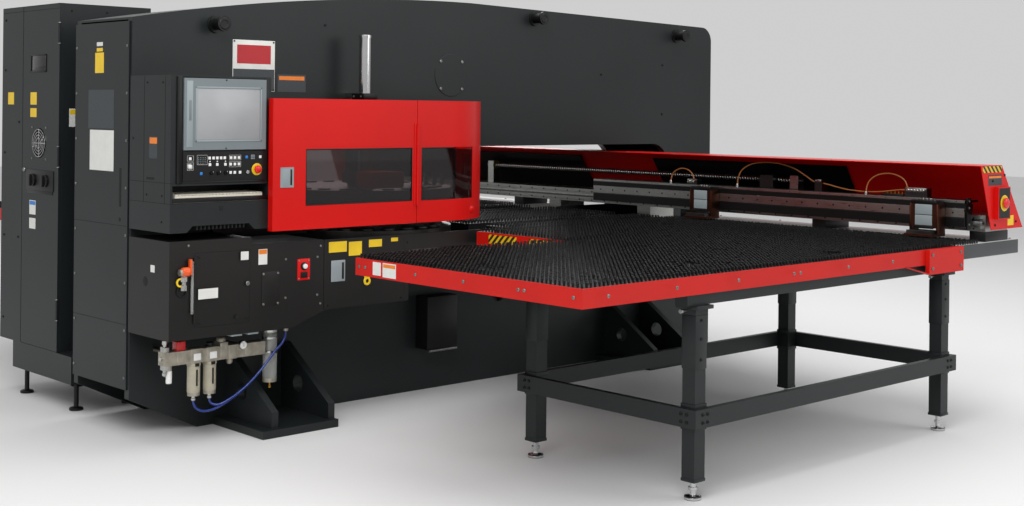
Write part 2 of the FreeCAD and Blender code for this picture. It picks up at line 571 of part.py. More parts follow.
def build_tables():
    """Moving tables with skirts and plain decks, the fixed centre table, and all the brush fields."""
    node("table_decks", both_sides(lambda: table_panels((DECK_LOW, DECK_TOP))))
    node("table_brushes", both_sides(lambda: table_panels((DECK_TOP, "pass_line"))))
    high = (DECK_LOW, DECK_TOP)
    edge = out("table_out")

    def skirts():
        """Red edge plates of one table, with the corner block at its right end."""
        return [
            box(("table_left - skirt", "table_right"), (f"{edge} - skirt", edge), high),
            box(("table_left - skirt", "table_left"), (edge, out("table_break")), high),
            box(("table_left - skirt", "table_inner_left - skirt"),
                (out("table_break"), f"{out('table_break')} + skirt"), high),
            box(("table_inner_left - skirt", "table_inner_left"), (out("table_break"), out("guard_out")),
                high),
            box(("table_right - corner_block", "table_right"),
                (f"{edge} - skirt - corner_proud", f"{edge} - skirt"), ("corner_low", DECK_TOP)),
        ]

    node("table_skirts", both_sides(skirts))
    node("plain_decks", both_sides(lambda: [
        box(("table_right", "table_right + plain_deck"), (out("plain_out"), out("guard_out")), high)]))
    node("centre_brushes", group(*centre_panels((DECK_TOP, "pass_line"))))
    seats = []
    for at in ("centre_left + riser", "centre_right - 2 * riser"):
        span = (at, f"{at} + riser")
        seats.append(box(span, ("-centre_half / 2", "centre_half / 2"), ("throat_low", DECK_LOW)))
        seat = box(span, (out("guide_out"), out("strip_near + 10")), ("guide_high", DECK_LOW))
        seats += [seat, mirrored(seat)]
    slab, front, rear = centre_panels(high)
    node("centre_table", group(fuse(slab, *seats[0::3]), fuse(front, *seats[1::3]), fuse(rear, *seats[2::3])))


def build_legs():
    """Square legs on levelling feet, the braces round them and the rails that the tables slide on."""
    half = "leg / 2"

    def legs():
        """Four legs of one stand, each with its spindle and pad."""
        made = []
        for x in ("leg_left", "leg_right"):
            for y in (out("leg_outer"), out("leg_inner")):
                tube = box((f"{x} - {half}", f"{x} + {half}"), (f"{y} - {half}", f"{y} + {half}"),
                           ("leg_foot", "leg_top"))
                spindle = rod("z", (x, y, "pad_height / 2"), "spindle", "leg_foot")
                pad = rod("z", (x, y, 0), "pad_radius", "pad_height")
                made.append(fuse(tube, spindle, pad))
        return made

    def braces():
        """Flat braces clamped to the outsides of the legs."""
        tall = ("brace_low", "brace_high")
        made = []
        for y, low, high in ((out("leg_outer"), f"-{half} - brace", f"-{half}"),
                             (out("leg_inner"), half, f"{half} + brace")):
            made.append(box((f"leg_left - {half} - brace", f"leg_right + {half} + brace"),
                            (f"{y} + {low}", f"{y} + {high}"), tall))
        for x, low, high in (("leg_left", f"-{half} - brace", f"-{half}"),
                             ("leg_right", half, f"{half} + brace")):
            made.append(box((f"{x} + {low}", f"{x} + {high}"),
                            (f"{out('leg_outer')} - {half}", f"{out('leg_inner')} + {half}"), tall))
        return made

    def rails():
        """Rails along the tops of the legs."""
        return [box(("leg_rail_left", "leg_rail_right"), (f"{y} - {half}", f"{y} + {half}"),
                    ("leg_top", f"{DECK_LOW} - slide_gap")) for y in (out("leg_outer"), out("leg_inner"))]

    node("table_legs", both_sides(legs))
    node("leg_braces", both_sides(lambda: braces() + rails()))


# ---- carriage base, carriage and clamps ----

def build_guides():
    """Guide beams along both side plates, each with a rail for the carriage base."""
    def guide():
        """One beam and its rail."""
        beam = box(("guide_left", "guide_right"), (out("guide_out"), out(0)), ("guide_low", "guide_high"))
        rail = box(("rail_left", "rail_right"), (out("rail_near + rail_width"), out("rail_near")),
                   ("guide_high", "guide_high + rail_height"))
        return [fuse(beam, rail)]

    node("guide_beams", both_sides(guide))


def build_cross_beam():
    """The beam across the throat, its saddles on the guide rails, and the screw with its bearings."""
    beam_right = "(beam_at + beam_width)"
    beam = box(("beam_at", beam_right), ("-beam_half", "beam_half"), ("beam_low", "beam_high"))
    rail_y = ("-beam_half + 20", "beam_half - 20")
    rails = [box(("beam_at - beam_rail", "beam_at"), rail_y, (low, f"{low} + 20"))
             for low in ("bar_low - 10", "beam_high - 20")]
    saddle = box(("beam_at", beam_right), (out("saddle_foot_far"), out("saddle_foot_near")),
                 ("guide_high + rail_height + slide_gap", "beam_low"))
    risers = [box(("beam_at", beam_right), (out(f"{far}"), out(f"{far} - 90")), (DECK_TOP, "beam_low"))
              for far in ("plain_out", "guard_out + 90", "(plain_out + guard_out + 90) / 2")]
    feet = [saddle, *risers]
    blocks = []
    for y in ("-screw_front", "screw_rear"):
        block = box(("screw_at - block_half", "screw_at + block_half"),
                    (f"{y} - block_half", f"{y} + block_half"), ("beam_high", "screw_up + block_half"))
        blocks.append(cut(block, rod("y", ("screw_at", f"{y} - block_half - 1", "screw_up"),
                                     "screw_radius + tool_clearance", "block + 2")))
    node("cross_beam", fuse(beam, *rails, *feet, *[mirrored(foot) for foot in feet], *blocks))
    node("drive_screw", rod("y", ("screw_at", "-screw_front - block", "screw_up"), "screw_radius",
                            "screw_front + screw_rear + 2 * block"))


# air blocks on the bar as left end, rear face, length and height, and upright sockets as x, y and height
AIR_BLOCKS = ((3645, -860, 80, 35), (3690, -1810, 50, 70), (3640, -2450, 140, 55))
AIR_SOCKETS = ((3640, -730, 18), (3655, -1260, 23), (3640, -2200, 18))


def build_carriage():
    """The bar that runs along the cross beam, with its nut bracket, and the two work clamps."""
    bar_y = ("-bar_front", "bar_length - bar_front")
    bar = box(("bar_at", "beam_at - beam_rail - slide_gap"), bar_y, ("bar_low", "bar_high"))
    flange = box(("bar_at", "bar_flange_right"), bar_y, ("bar_high - bar_flange", "bar_high"))
    nut_y = ("-nut_at", "nut_length - nut_at")
    nut = box(("bar_flange_right - 1", "screw_at + block_half"), nut_y,
              ("bar_high - bar_flange", "screw_up + block_half - 2"))
    bore = rod("y", ("screw_at", "-nut_at - 1", "screw_up"), "screw_radius + slide_gap", "nut_length + 2")
    top = "bar_high - 1"
    fittings = [box((x, f"{x} + manifold_width"), (f"{y} - {length}", y), (top, f"bar_high + {rise}"))
                for x, y, length, rise in AIR_BLOCKS]
    sockets = [rod("z", (x, y, top), "line_socket", f"{rise} + 1") for x, y, rise in AIR_SOCKETS]
    node("carriage_bar", cut(fuse(bar, flange, nut, *fittings, *sockets), bore))
    for name, jaw_name, at in (("clamp_front", "jaw_front", "-clamp_front_at"),
                               ("clamp_rear", "jaw_rear", "-clamp_rear_at")):
        half = "clamp_width / 2"
        face = ("bar_at - clamp_reach", "bar_at - slide_gap")
        head = box(face, (f"{at} - {half}", f"{at} + {half}"), ("clamp_head_low", "clamp_high"))
        cheeks = [box(face, (low, f"{low} + cheek"), ("clamp_low", "clamp_high"))
                  for low in (f"{at} - {half}", f"{at} + {half} - cheek")]
        lower = box(("bar_at - jaw_reach", "bar_at - slide_gap"), (f"{at} - {half}", f"{at} + {half}"),
                    ("clamp_low", "clamp_low + lower_jaw"))
        pin_at = "bar_at - jaw_pin_back"
        middle = "jaw_low + jaw / 2"
        reach = f"{half} - cheek - slide_gap"
        pin_hole = rod("y", (pin_at, f"{at} - {half} - 1", middle), "5 + tool_clearance", "clamp_width + 2")
        node(name, cut(fuse(head, *cheeks, lower), pin_hole))
        blade = box(("bar_at - jaw_reach + 5", pin_at), (f"{at} - ({reach})", f"{at} + {reach}"),
                    ("jaw_low", "jaw_low + jaw"))
        pin = rod("y", (pin_at, f"{at} - {half}", middle), 5, "clamp_width")
        node(jaw_name, fuse(blade, pin))


def cover_outline(inset):
    """The cross-section of the carriage cover's sheet; its lip stops an inset short of the beam."""
    return [("cover_top_left", "cover_high - cover_sheet"),
            ("cover_top_right - cover_sheet / 2", "cover_high - cover_sheet"),
            ("cover_bottom_right - cover_sheet", "cover_low + cover_sheet"),
            (f"beam_at + beam_width + {inset}", "cover_low + cover_sheet"),
            (f"beam_at + beam_width + {inset}", "cover_low"), ("cover_bottom_right", "cover_low"),
            ("cover_top_right", "cover_high"), ("cover_top_left", "cover_high")]


def build_cover():
    """Folded cover over the screw with a cap at each end, and the stop button on the front cap."""
    fold = plate_body("XZ_Plane", cover_outline("slide_gap"), "2 * cover_half + cover_rear_more")
    place(fold, 0, "cover_rear_more / 2", 0)
    caps = []
    for y in ("cover_sheet / 2 - cover_half", "cover_half + cover_rear_more - cover_sheet / 2"):
        cap = plate_body("XZ_Plane", [
            ("cover_bottom_left", "cover_low"), ("cover_bottom_right", "cover_low"),
            ("cover_top_right", "cover_high"), ("cover_top_left", "cover_high")], "cover_sheet")
        place(cap, 0, y, 0)
        caps.append(cap)
    hole = rod("y", ("cap_estop_at", "-cover_half - cap_box_proud - 1", "cap_estop_up"),
               "estop_stem + stem_clearance", "cap_box_proud + cover_sheet + 2")
    box_front = box(("cap_estop_at - 0.75 * cap_box_half", "cap_estop_at + 0.75 * cap_box_half"),
                    ("-cover_half - cap_box_proud", "-cover_half"),
                    ("cap_estop_up - cap_box_half", "cap_estop_up + cap_box_half"))
    node("carriage_cover", cut(fuse(fold, *caps, box_front), hole))
    face = "-cover_half - cap_box_proud"
    knob = rod("y", ("cap_estop_at", f"{face} - estop_travel - estop_cap", "cap_estop_up"),
               "cap_estop_radius", "estop_cap")
    shank = rod("y", ("cap_estop_at", f"{face} - estop_travel - 1", "cap_estop_up"), "estop_stem",
                "stem_length + estop_travel")
    node("cap_estop", fuse(knob, shank))


# ---- electrical cabinet ----

def build_cabinet():
    """Cabinet on its raised base, with a hinged door, a fan and two breaker knobs."""
    left, right = "cabinet_left", "cabinet_left + cabinet_length"
    near, far = "cabinet_near", "cabinet_near + cabinet_width"
    split = "cabinet_near + cabinet_door_width"
    shell = box((left, right), (near, far), ("cabinet_low", "cabinet_high"))
    inside = box((f"{left} - 1", f"{right} - cabinet_wall"),
                 (f"{near} + cabinet_wall", f"{split} - cabinet_wall"),
                 ("cabinet_low + cabinet_wall", "cabinet_high - cabinet_wall"))
    rebate = box((f"{left} - 1", f"{left} + cabinet_door_sheet + slide_gap"), (f"{near} - 1", split),
                 ("cabinet_low + 2", "cabinet_high - 2"))
    base_right = f"{right} - base_short"
    base = box((left, base_right), ("base_near", "base_back"), ("base_low", "cabinet_low"))
    feet = []
    for x in (f"{left} + 60", f"{base_right} - 110"):
        for y in ("base_near + 60", "base_back - 60"):
            stem = rod("z", (x, y, "foot_pad_height / 2"), "foot_stem", "base_low")
            feet += [stem, rod("z", (x, y, 0), "foot_pad", "foot_pad_height")]
    duct = box((f"{base_right} - duct_width", base_right), (HALF, near),
               ("duct_low", "duct_low + duct_height"))
    node("cabinet", fuse(cut(shell, inside, rebate), base, duct, *feet))
    door_y = (near, f"{split} - 2")
    leaf = box((left, f"{left} + cabinet_door_sheet"), door_y, ("cabinet_low + 4", "cabinet_high - 4"))
    barrels = [rod("z", (f"{left} - 3", f"{near} - 3", up), 7, 110)
               for up in ("cabinet_low + 180", "cabinet_high - 900", "cabinet_high - 220")]
    air_hole = rod("x", (f"{left} - 1", "fan_at", "fan_up"), "fan_radius + fan_gap", "cabinet_door_sheet + 2")
    web = box((f"{left} + cabinet_door_sheet - 4", f"{left} + cabinet_door_sheet"),
              ("fan_at - fan_radius - 10", "fan_at + fan_radius + 10"),
              ("fan_up - fan_web / 2", "fan_up + fan_web / 2"))
    stems = [rod("x", (f"{left} - 1", y, "breaker_up"), "breaker_stem + slide_gap", "cabinet_door_sheet + 2")
             for y in ("breaker_near", "breaker_far")]
    node("cabinet_door", cut(fuse(cut(fuse(leaf, *barrels), air_hole), web), *stems))
    hub_x = f"{left} + cabinet_door_sheet - 4 - slide_gap"
    hub = rod("x", (f"{hub_x} - 11", "fan_at", "fan_up"), "fan_hub", 11)
    blades = []
    for turn in range(0, 360, 45):
        blade = box((f"{left} + 4", f"{left} + 12"), ("fan_at - 9", "fan_at + 9"),
                    ("fan_up", "fan_up + fan_radius"))
        spin = FreeCAD.Rotation(ALONG, turn)
        blade.Placement.Rotation = spin
        corner = spin.multVec(FreeCAD.Vector(0, -9, 0))
        place(blade, f"{left} + 4", f"fan_at + {corner.y:.4f}", f"fan_up + {corner.z:.4f}")
        blades.append(blade)
    node("fan_rotor", fuse(hub, *blades))
    for name, y in (("breaker_knob_near", "breaker_near"), ("breaker_knob_far", "breaker_far")):
        knob = rod("x", (f"{left} - breaker_proud", y, "breaker_up"), "breaker_radius",
                   "breaker_proud - slide_gap")
        stem = rod("x", (f"{left} - 2", y, "breaker_up"), "breaker_stem", "cabinet_door_sheet + 20")
        node(name, fuse(knob, stem))


# ---- exhaust tube, air unit and hoses ----

def build_air_unit():
    """Exhaust tube, air filters with their blocks, the oil bottle and the two drain hoses."""
    tube = rod("z", ("tube_at", out("tube_out"), "tube_low"), "tube_radius", "tube_high - tube_low")
    brackets = [box(("tube_at - tube_bracket", "tube_at + tube_bracket"), (out("tube_out"), out(0)),
                    (up, f"{up} + tube_bracket")) for up in ("tube_low + 30", "tube_bracket_up")]
    node("exhaust_tube", fuse(tube, *brackets))
    y = out("air_out")
    bar = box(("air_left", "air_right"), (f"{y} - air_body / 2", f"{y} + air_body / 2"),
              ("air_body_low", "air_body_low + air_body"))
    shelf = ("air_body_low + 20", "air_body_low + 20 + air_bracket")
    back = [box((at, f"{at} + 40"), (f"{y} + air_body / 2", out(0)), shelf)
            for at in ("air_left + 120", "air_right - 60")]
    bowls = []
    for step in range(2):
        at = f"bowl_first + {step} * bowl_step"
        bowls.append(rod("z", (at, y, "bowl_low"), "bowl_radius", "bowl_height"))
        bowls.append(rod("z", (at, y, "bowl_low - drain_height"), "drain", "drain_height"))
    muffler = rod("z", ("muffler_at", y, "muffler_low"), "muffler_radius", "air_body_low - muffler_low")
    bottle = rod("z", ("bottle_at", y, "bottle_low"), "bottle_radius", "lower_low - bottle_low")
    port = box(("air_right", "bottle_at"), (f"{y} - 12", f"{y} + 12"), shelf)
    fitting = rod("z", ("hose_end_at", out("hose_end_out"), "lower_low - hose_fitting"), "2.2 * hose_radius",
                  "hose_fitting")
    node("air_unit", group(fuse(bar, *back, *bowls, muffler, bottle, port), fitting))


def routed_tube(points, radius):
    """A round tube along straight runs joined by the largest tangent arcs that they allow."""
    edges = []
    start = points[0]
    for before, corner, after in zip(points, points[1:], points[2:]):
        back, ahead = before - corner, after - corner
        turn = math.pi - back.getAngle(ahead)
        trim = 0.45 * min(back.Length, ahead.Length)
        back.normalize()
        ahead.normalize()
        enter, leave = corner + back * trim, corner + ahead * trim
        bend = trim / math.tan(turn / 2)
        inward = (back + ahead).normalize()
        middle = corner + inward * (bend / math.cos(turn / 2) - bend)
        print(f"hose bend radius {bend:.0f} mm")
        edges += [Part.LineSegment(start, enter).toShape(), Part.Arc(enter, middle, leave).toShape()]
        start = leave
    edges.append(Part.LineSegment(start, points[-1]).toShape())
    path = Part.Wire(edges)
    ring = Part.Wire([Part.Circle(points[0], points[1] - points[0], radius).toShape()])
    tube = path.makePipeShell([ring], True, False)
    straight = math.pi * radius ** 2 * path.Length
    print(f"hose length {path.Length:.0f} mm, volume ratio {tube.Volume / straight:.4f}")
    return tube


def build_hoses():
    """Two drain hoses from the bowls that meet, run up past the bottle and end under the console."""
    y = value(out("air_out"))
    drain = value("bowl_low - drain_height")
    first, second = value("bowl_first"), value("bowl_first + bowl_step")
    end = FreeCAD.Vector(value("hose_end_at"), value(out("hose_end_out")), value("lower_low - hose_fitting"))
    routes = ([(first, y, drain), (first, y, drain - 28), (first + 40, y - 10, drain - 58),
               (first + 95, y - 20, drain - 56), (first + 165, y - 30, drain - 30),
               (first + 240, y - 40, drain + 14), (first + 310, y - 46, drain + 68),
               (first + 375, y - 50, drain + 132),
               (first + 435, y - 52, drain + 200), (end.x, end.y, end.z - 45), tuple(end)],
              [(second, y, drain), (second, y, drain - 22), (second + 30, y - 26, drain - 36),
               (second + 80, y - 44, drain - 14), (second + 150, y - 55, drain + 26),
               (second + 220, y - 61, drain + 80), (second + 285, y - 65, drain + 145),
               (second + 345, y - 67, drain + 212)])
    lay_hoses("drain_hoses", routes, "hose_radius")


def lay_hoses(name, routes, radius):
    """One tube for each route; x is counted from the frame's left end."""
    shift = FreeCAD.Vector(-value("frame_length") / 2, 0, 0)
    tubes = []
    for route in routes:
        points = [FreeCAD.Vector(*spot) + shift for spot in route]
        tubes.append(routed_tube(points, value(radius)))
    hoses = doc.addObject("Part::Feature", "hoses")
    hoses.Shape = Part.makeCompound(tubes)
    node(name, hoses)


def build_air_lines():
    """Tan air lines that loop over the carriage bar from its sockets to the air blocks."""
    routes = ([(3640, -730, 1208.3), (3640, -732, 1233), (3646, -750, 1270), (3656, -800, 1293),
               (3664, -855, 1285), (3668, -892, 1252), (3669, -898, 1225.3)],
              [(3655, -1260, 1213.3), (3655, -1263, 1246), (3661, -1285, 1300), (3672, -1350, 1340),
               (3684, -1450, 1353), (3694, -1560, 1347), (3703, -1660, 1320), (3709, -1740, 1275),
               (3711, -1785, 1247), (3712, -1809.7, 1241)],
              [(3712, -1860.3, 1238), (3711, -1900, 1233), (3706, -1980, 1216), (3700, -2080, 1206),
               (3693, -2185, 1204), (3685, -2285, 1211), (3677, -2370, 1224), (3672, -2418, 1229),
               (3670, -2449.7, 1229)],
              [(3640, -2200, 1208.3), (3640, -2202, 1238), (3643, -2222, 1280), (3648, -2275, 1312),
               (3652, -2345, 1322), (3655, -2410, 1306), (3658, -2450, 1277), (3658, -2455, 1246)])
    lay_hoses("air_lines", routes, "line_radius")


build_frame()
build_feet()
build_lifting_pins()
build_turret()
build_console()
build_lower_covers()
build_guard()
build_tables()
build_legs()
build_guides()
build_cross_beam()
build_carriage()
build_cover()
build_cabinet()
build_air_unit()
build_hoses()
build_air_lines()
doc.recompute()

for item in doc.Objects:
    if "Invalid" in item.State or "Error" in item.State:
        raise RuntimeError(f"{item.Label} ({item.Name}) did not build: {item.State}")
for name, piece in NODES.items():
    if piece.Shape.isNull() or not piece.Shape.isValid() or not piece.Shape.Solids:
        raise RuntimeError(f"{name} has no valid solid")

os.makedirs("parts", exist_ok=True)
for name, piece in NODES.items():
    piece.Shape.exportStep(f"parts/{name}.step")
print(len(NODES), "sub-parts written")
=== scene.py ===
"""Turret punch press with two moving brush tables: studio, camera, finishes and the fittings on its frame."""
import logging
import math
import random
from dataclasses import dataclass
from enum import Enum
from typing import Any, Sequence

import bmesh
import bpy
from mathutils import Matrix, Vector


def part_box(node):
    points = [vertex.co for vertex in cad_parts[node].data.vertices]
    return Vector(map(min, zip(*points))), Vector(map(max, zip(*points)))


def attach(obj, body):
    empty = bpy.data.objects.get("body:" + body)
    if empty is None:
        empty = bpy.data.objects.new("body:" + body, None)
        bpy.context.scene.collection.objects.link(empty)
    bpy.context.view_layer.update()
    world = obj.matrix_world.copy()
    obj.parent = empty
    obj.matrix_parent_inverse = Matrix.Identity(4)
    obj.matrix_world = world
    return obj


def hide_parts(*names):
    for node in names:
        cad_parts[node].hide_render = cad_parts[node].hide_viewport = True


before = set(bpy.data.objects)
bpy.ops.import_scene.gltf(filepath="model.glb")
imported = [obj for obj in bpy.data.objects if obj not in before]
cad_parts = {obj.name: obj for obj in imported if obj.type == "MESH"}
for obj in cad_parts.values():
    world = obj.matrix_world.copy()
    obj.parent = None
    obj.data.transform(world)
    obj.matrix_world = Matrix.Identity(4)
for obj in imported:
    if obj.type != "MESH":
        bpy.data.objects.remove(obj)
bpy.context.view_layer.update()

LOG = logging.getLogger("punch_press")
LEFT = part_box("end_cover")[0].x
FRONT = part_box("front_plate")[0].y * 1000
Span = tuple[float, float]
Spot = tuple[float, float, float]


def place(x: float, y: float, z: float) -> Vector:
    """The point in the row frame for millimetres from the frame's left end, its mid-plane and the floor."""
    return Vector((LEFT + x / 1000, y / 1000, z / 1000))


def linear(hex_text: str) -> tuple[float, float, float, float]:
    """Turns an sRGB hex colour into linear values.

    Args:
        hex_text: The colour as "#rrggbb".

    Returns:
        Linear red, green and blue, with an alpha of one.
    """
    parts = [int(hex_text[i:i + 2], 16) / 255 for i in (1, 3, 5)]
    red, green, blue = [c / 12.92 if c <= 0.04045 else ((c + 0.055) / 1.055) ** 2.4 for c in parts]
    return red, green, blue, 1.0


def add_node(tree: bpy.types.NodeTree, kind: str, values: dict[str, Any] | None = None,
             links: dict[str, bpy.types.NodeSocket] | None = None, **settings: Any) -> bpy.types.Node:
    """Adds a shader node.

    Args:
        tree: The node tree that it joins.
        kind: The node's type name.
        values: Values for its input sockets, by name.
        links: Output sockets to join to its inputs, by name.
        **settings: The node's own properties.

    Returns:
        The new node.
    """
    node = tree.nodes.new(kind)
    for name, value in settings.items():
        setattr(node, name, value)
    for name, value in (values or {}).items():
        node.inputs[name].default_value = value
    for name, socket in (links or {}).items():
        tree.links.new(socket, node.inputs[name])
    return node


# ---- finishes ----

# noise keeps mostly between these two values, so ramps and ranges start and end there
NOISE_LOW, NOISE_HIGH = 0.3, 0.7
# along its grain a finish goes from the first to the second share of its roughness
SMOOTH_SHARE, ROUGH_SHARE = 0.86, 1.14
COAT_ROUGHNESS = 0.12
BUMP_STRENGTH = 0.6


class Surface(Enum):
    """How a finish was made. Only striped tape has a pattern of its own: the others share one."""

    POWDER = "powder coated"
    ENAMEL = "sprayed enamel"
    GROUND = "ground"
    CAST = "cast"
    MOULDED = "moulded"
    BRISTLE = "bundled bristle"
    PANE = "polished sheet"
    PRINTED = "printed film"
    STRIPED = "striped tape"


@dataclass(frozen=True)
class Finish:
    """One real finish, with its pattern's sizes in millimetres."""

    name: str
    surface: Surface
    colour: str
    roughness: float
    metallic: float = 0.0
    grain_mm: float = 1.6
    relief_mm: float = 0.05
    patch_mm: float = 420.0
    patch: float = 0.16
    coat: float = 0.0
    clear: float = 0.0
    second: str = ""
    edge_mm: float = 1.6
    stretch: Spot = (1.0, 1.0, 1.0)
    stripe_mm: float = 34.0
    gloss: float = 0.5

    def shade(self, share: float) -> tuple[float, float, float, float]:
        """The base colour, lighter or darker by a share."""
        red, green, blue, _ = linear(self.colour)
        return tuple(min(1.0, c * (1 + share)) for c in (red, green, blue)) + (1.0,)

    def build(self) -> bpy.types.Material:
        """Makes the node material.

        Returns:
            The material, named for the finish.
        """
        material = bpy.data.materials.new(self.name)
        material.use_nodes = True
        tree = material.node_tree
        tree.nodes.clear()
        where = add_node(tree, "ShaderNodeTexCoord").outputs["Object"]
        stretched = add_node(tree, "ShaderNodeMapping", {"Scale": self.stretch}, {"Vector": where})
        patches = add_node(tree, "ShaderNodeTexNoise", {"Scale": 1000 / self.patch_mm, "Detail": 4.0},
                           {"Vector": where})
        grain = add_node(tree, "ShaderNodeTexNoise", {"Scale": 1000 / self.grain_mm, "Detail": 2.0},
                         {"Vector": stretched.outputs["Vector"]})
        ramp = add_node(tree, "ShaderNodeValToRGB", links={"Fac": patches.outputs[0]})
        ramp.color_ramp.elements[0].position = NOISE_LOW
        ramp.color_ramp.elements[0].color = self.shade(-self.patch)
        ramp.color_ramp.elements[1].position = NOISE_HIGH
        ramp.color_ramp.elements[1].color = self.shade(self.patch)
        colour = ramp.outputs["Color"]
        if self.surface is Surface.STRIPED:
            colour = self.stripes(tree, where)
        rough = add_node(tree, "ShaderNodeMapRange",
                         {"From Min": NOISE_LOW, "From Max": NOISE_HIGH,
                          "To Min": self.roughness * SMOOTH_SHARE,
                          "To Max": min(1.0, self.roughness * ROUGH_SHARE)}, {"Value": grain.outputs[0]})
        soft = add_node(tree, "ShaderNodeBevel", {"Radius": self.edge_mm / 1000}, samples=4)
        bump = add_node(tree, "ShaderNodeBump",
                        {"Strength": BUMP_STRENGTH, "Distance": self.relief_mm / 1000},
                        {"Height": grain.outputs[0], "Normal": soft.outputs["Normal"]})
        shader = add_node(tree, "ShaderNodeBsdfPrincipled",
                          {"Metallic": self.metallic, "Coat Weight": self.coat,
                           "Coat Roughness": COAT_ROUGHNESS, "Transmission Weight": self.clear,
                           "Specular IOR Level": self.gloss},
                          {"Base Color": colour, "Roughness": rough.outputs["Result"],
                           "Normal": bump.outputs["Normal"]})
        add_node(tree, "ShaderNodeOutputMaterial", links={"Surface": shader.outputs["BSDF"]})
        return material

    def stripes(self, tree: bpy.types.NodeTree, where: bpy.types.NodeSocket) -> bpy.types.NodeSocket:
        """Slanting two-colour stripes of even width.

        Args:
            tree: The material's node tree.
            where: The coordinate socket.

        Returns:
            The colour socket.
        """
        pitch = 2 * self.stripe_mm / 1000 * math.sqrt(2)
        wave = add_node(tree, "ShaderNodeTexWave", {"Scale": 2 * math.pi / (10 * pitch)}, {"Vector": where},
                        wave_type="BANDS", bands_direction="DIAGONAL")
        ramp = add_node(tree, "ShaderNodeValToRGB", links={"Fac": wave.outputs["Fac"]})
        ramp.color_ramp.interpolation = "CONSTANT"
        ramp.color_ramp.elements[0].color = linear(self.colour)
        ramp.color_ramp.elements[1].position = 0.5
        ramp.color_ramp.elements[1].color = linear(self.second)
        return ramp.outputs["Color"]


# fine textured polyester powder coat: dull, with a grain that breaks up each reflection
CHARCOAL = Finish("charcoal_powder_coat", Surface.POWDER, "#1c2021", 0.4, grain_mm=2.2, relief_mm=0.07,
                  patch_mm=900, patch=0.18, gloss=0.3)
BROWN_BLACK = Finish("dark_powder_coat", Surface.POWDER, "#191817", 0.42, grain_mm=2.2, relief_mm=0.07,
                     gloss=0.3)
SATIN_BLACK = Finish("satin_black_paint", Surface.POWDER, "#0b0c0c", 0.38, grain_mm=3.0, relief_mm=0.05,
                     gloss=0.3)
# two-pack enamel under lacquer: clear reflections with a slow orange peel of a few millimetres
RED = Finish("red_enamel", Surface.ENAMEL, "#cc0d08", 0.36, grain_mm=6.0, relief_mm=0.03, patch_mm=700,
             patch=0.06, coat=0.06, edge_mm=1.2, gloss=0.25)
SKIRT_RED = Finish("red_skirt_enamel", Surface.ENAMEL, "#bf150b", 0.42, grain_mm=5.0, relief_mm=0.03,
                   patch=0.08, coat=0.04, gloss=0.25)
WHITE = Finish("white_deck_enamel", Surface.ENAMEL, "#cfd0cf", 0.4, grain_mm=5.0, relief_mm=0.02, patch=0.05)
EDGE_GREY = Finish("grey_edge_trim", Surface.POWDER, "#3c4041", 0.45)
# machined along Y: long fine scratches, drawn three millimetres apart so that they show
BEAM_STEEL = Finish("ground_beam_steel", Surface.GROUND, "#a9aaa6", 0.3, metallic=1.0, grain_mm=3.0,
                    relief_mm=0.02, patch=0.18, patch_mm=500, stretch=(1.0, 0.03, 1.0))
BAR_STEEL = Finish("blued_bar_steel", Surface.GROUND, "#4a4b4c", 0.36, metallic=1.0, grain_mm=3.0,
                   relief_mm=0.02, patch=0.25, stretch=(1.0, 0.03, 1.0))
SHAFT_STEEL = Finish("hardened_screw_steel", Surface.GROUND, "#dcdcd8", 0.22, metallic=1.0, grain_mm=2.5,
                     relief_mm=0.02, patch=0.2, patch_mm=60)
TOOL_STEEL = Finish("oiled_tool_steel", Surface.GROUND, "#5d5d5b", 0.34, metallic=1.0, grain_mm=4.0,
                    relief_mm=0.03, patch=0.35, patch_mm=140)
BRONZE = Finish("bronze_anodised_aluminium", Surface.GROUND, "#5a382c", 0.36, metallic=1.0, grain_mm=2.5,
                relief_mm=0.02, patch=0.2, patch_mm=60)
CAST = Finish("cast_aluminium", Surface.CAST, "#a8a294", 0.46, metallic=0.85, grain_mm=2.0, relief_mm=0.12,
              patch=0.2, patch_mm=40)
NICKEL = Finish("nickel_plated_brass", Surface.CAST, "#b9bab6", 0.24, metallic=1.0, grain_mm=1.2,
                relief_mm=0.02, patch=0.15, patch_mm=30, edge_mm=0.5)
BRASS = Finish("turned_brass", Surface.GROUND, "#a87f35", 0.28, metallic=1.0, grain_mm=1.0, relief_mm=0.02,
               patch=0.2, patch_mm=20, edge_mm=0.5)
CHROME = Finish("hard_chrome", Surface.GROUND, "#c9c9c9", 0.12, metallic=1.0, grain_mm=2.0, relief_mm=0.01,
                patch=0.06, patch_mm=200)
ZINC = Finish("zinc_plated_steel", Surface.CAST, "#8f908e", 0.34, metallic=1.0, grain_mm=1.5,
              relief_mm=0.02, patch=0.2, patch_mm=20, edge_mm=0.5)
SMOKED = Finish("smoked_polycarbonate", Surface.PANE, "#625557", 0.03, grain_mm=60.0, relief_mm=0.01,
                patch=0.05, clear=0.97, edge_mm=0.4, gloss=0.35)
DISPLAY = Finish("anti_glare_screen", Surface.PANE, "#97999b", 0.3, grain_mm=0.8, relief_mm=0.01,
                 patch_mm=300, patch=0.12, coat=0.2, edge_mm=0.4)
CLEAR = Finish("clear_tube", Surface.PANE, "#b9bdb9", 0.12, grain_mm=8.0, relief_mm=0.02, clear=0.6,
               edge_mm=0.3)
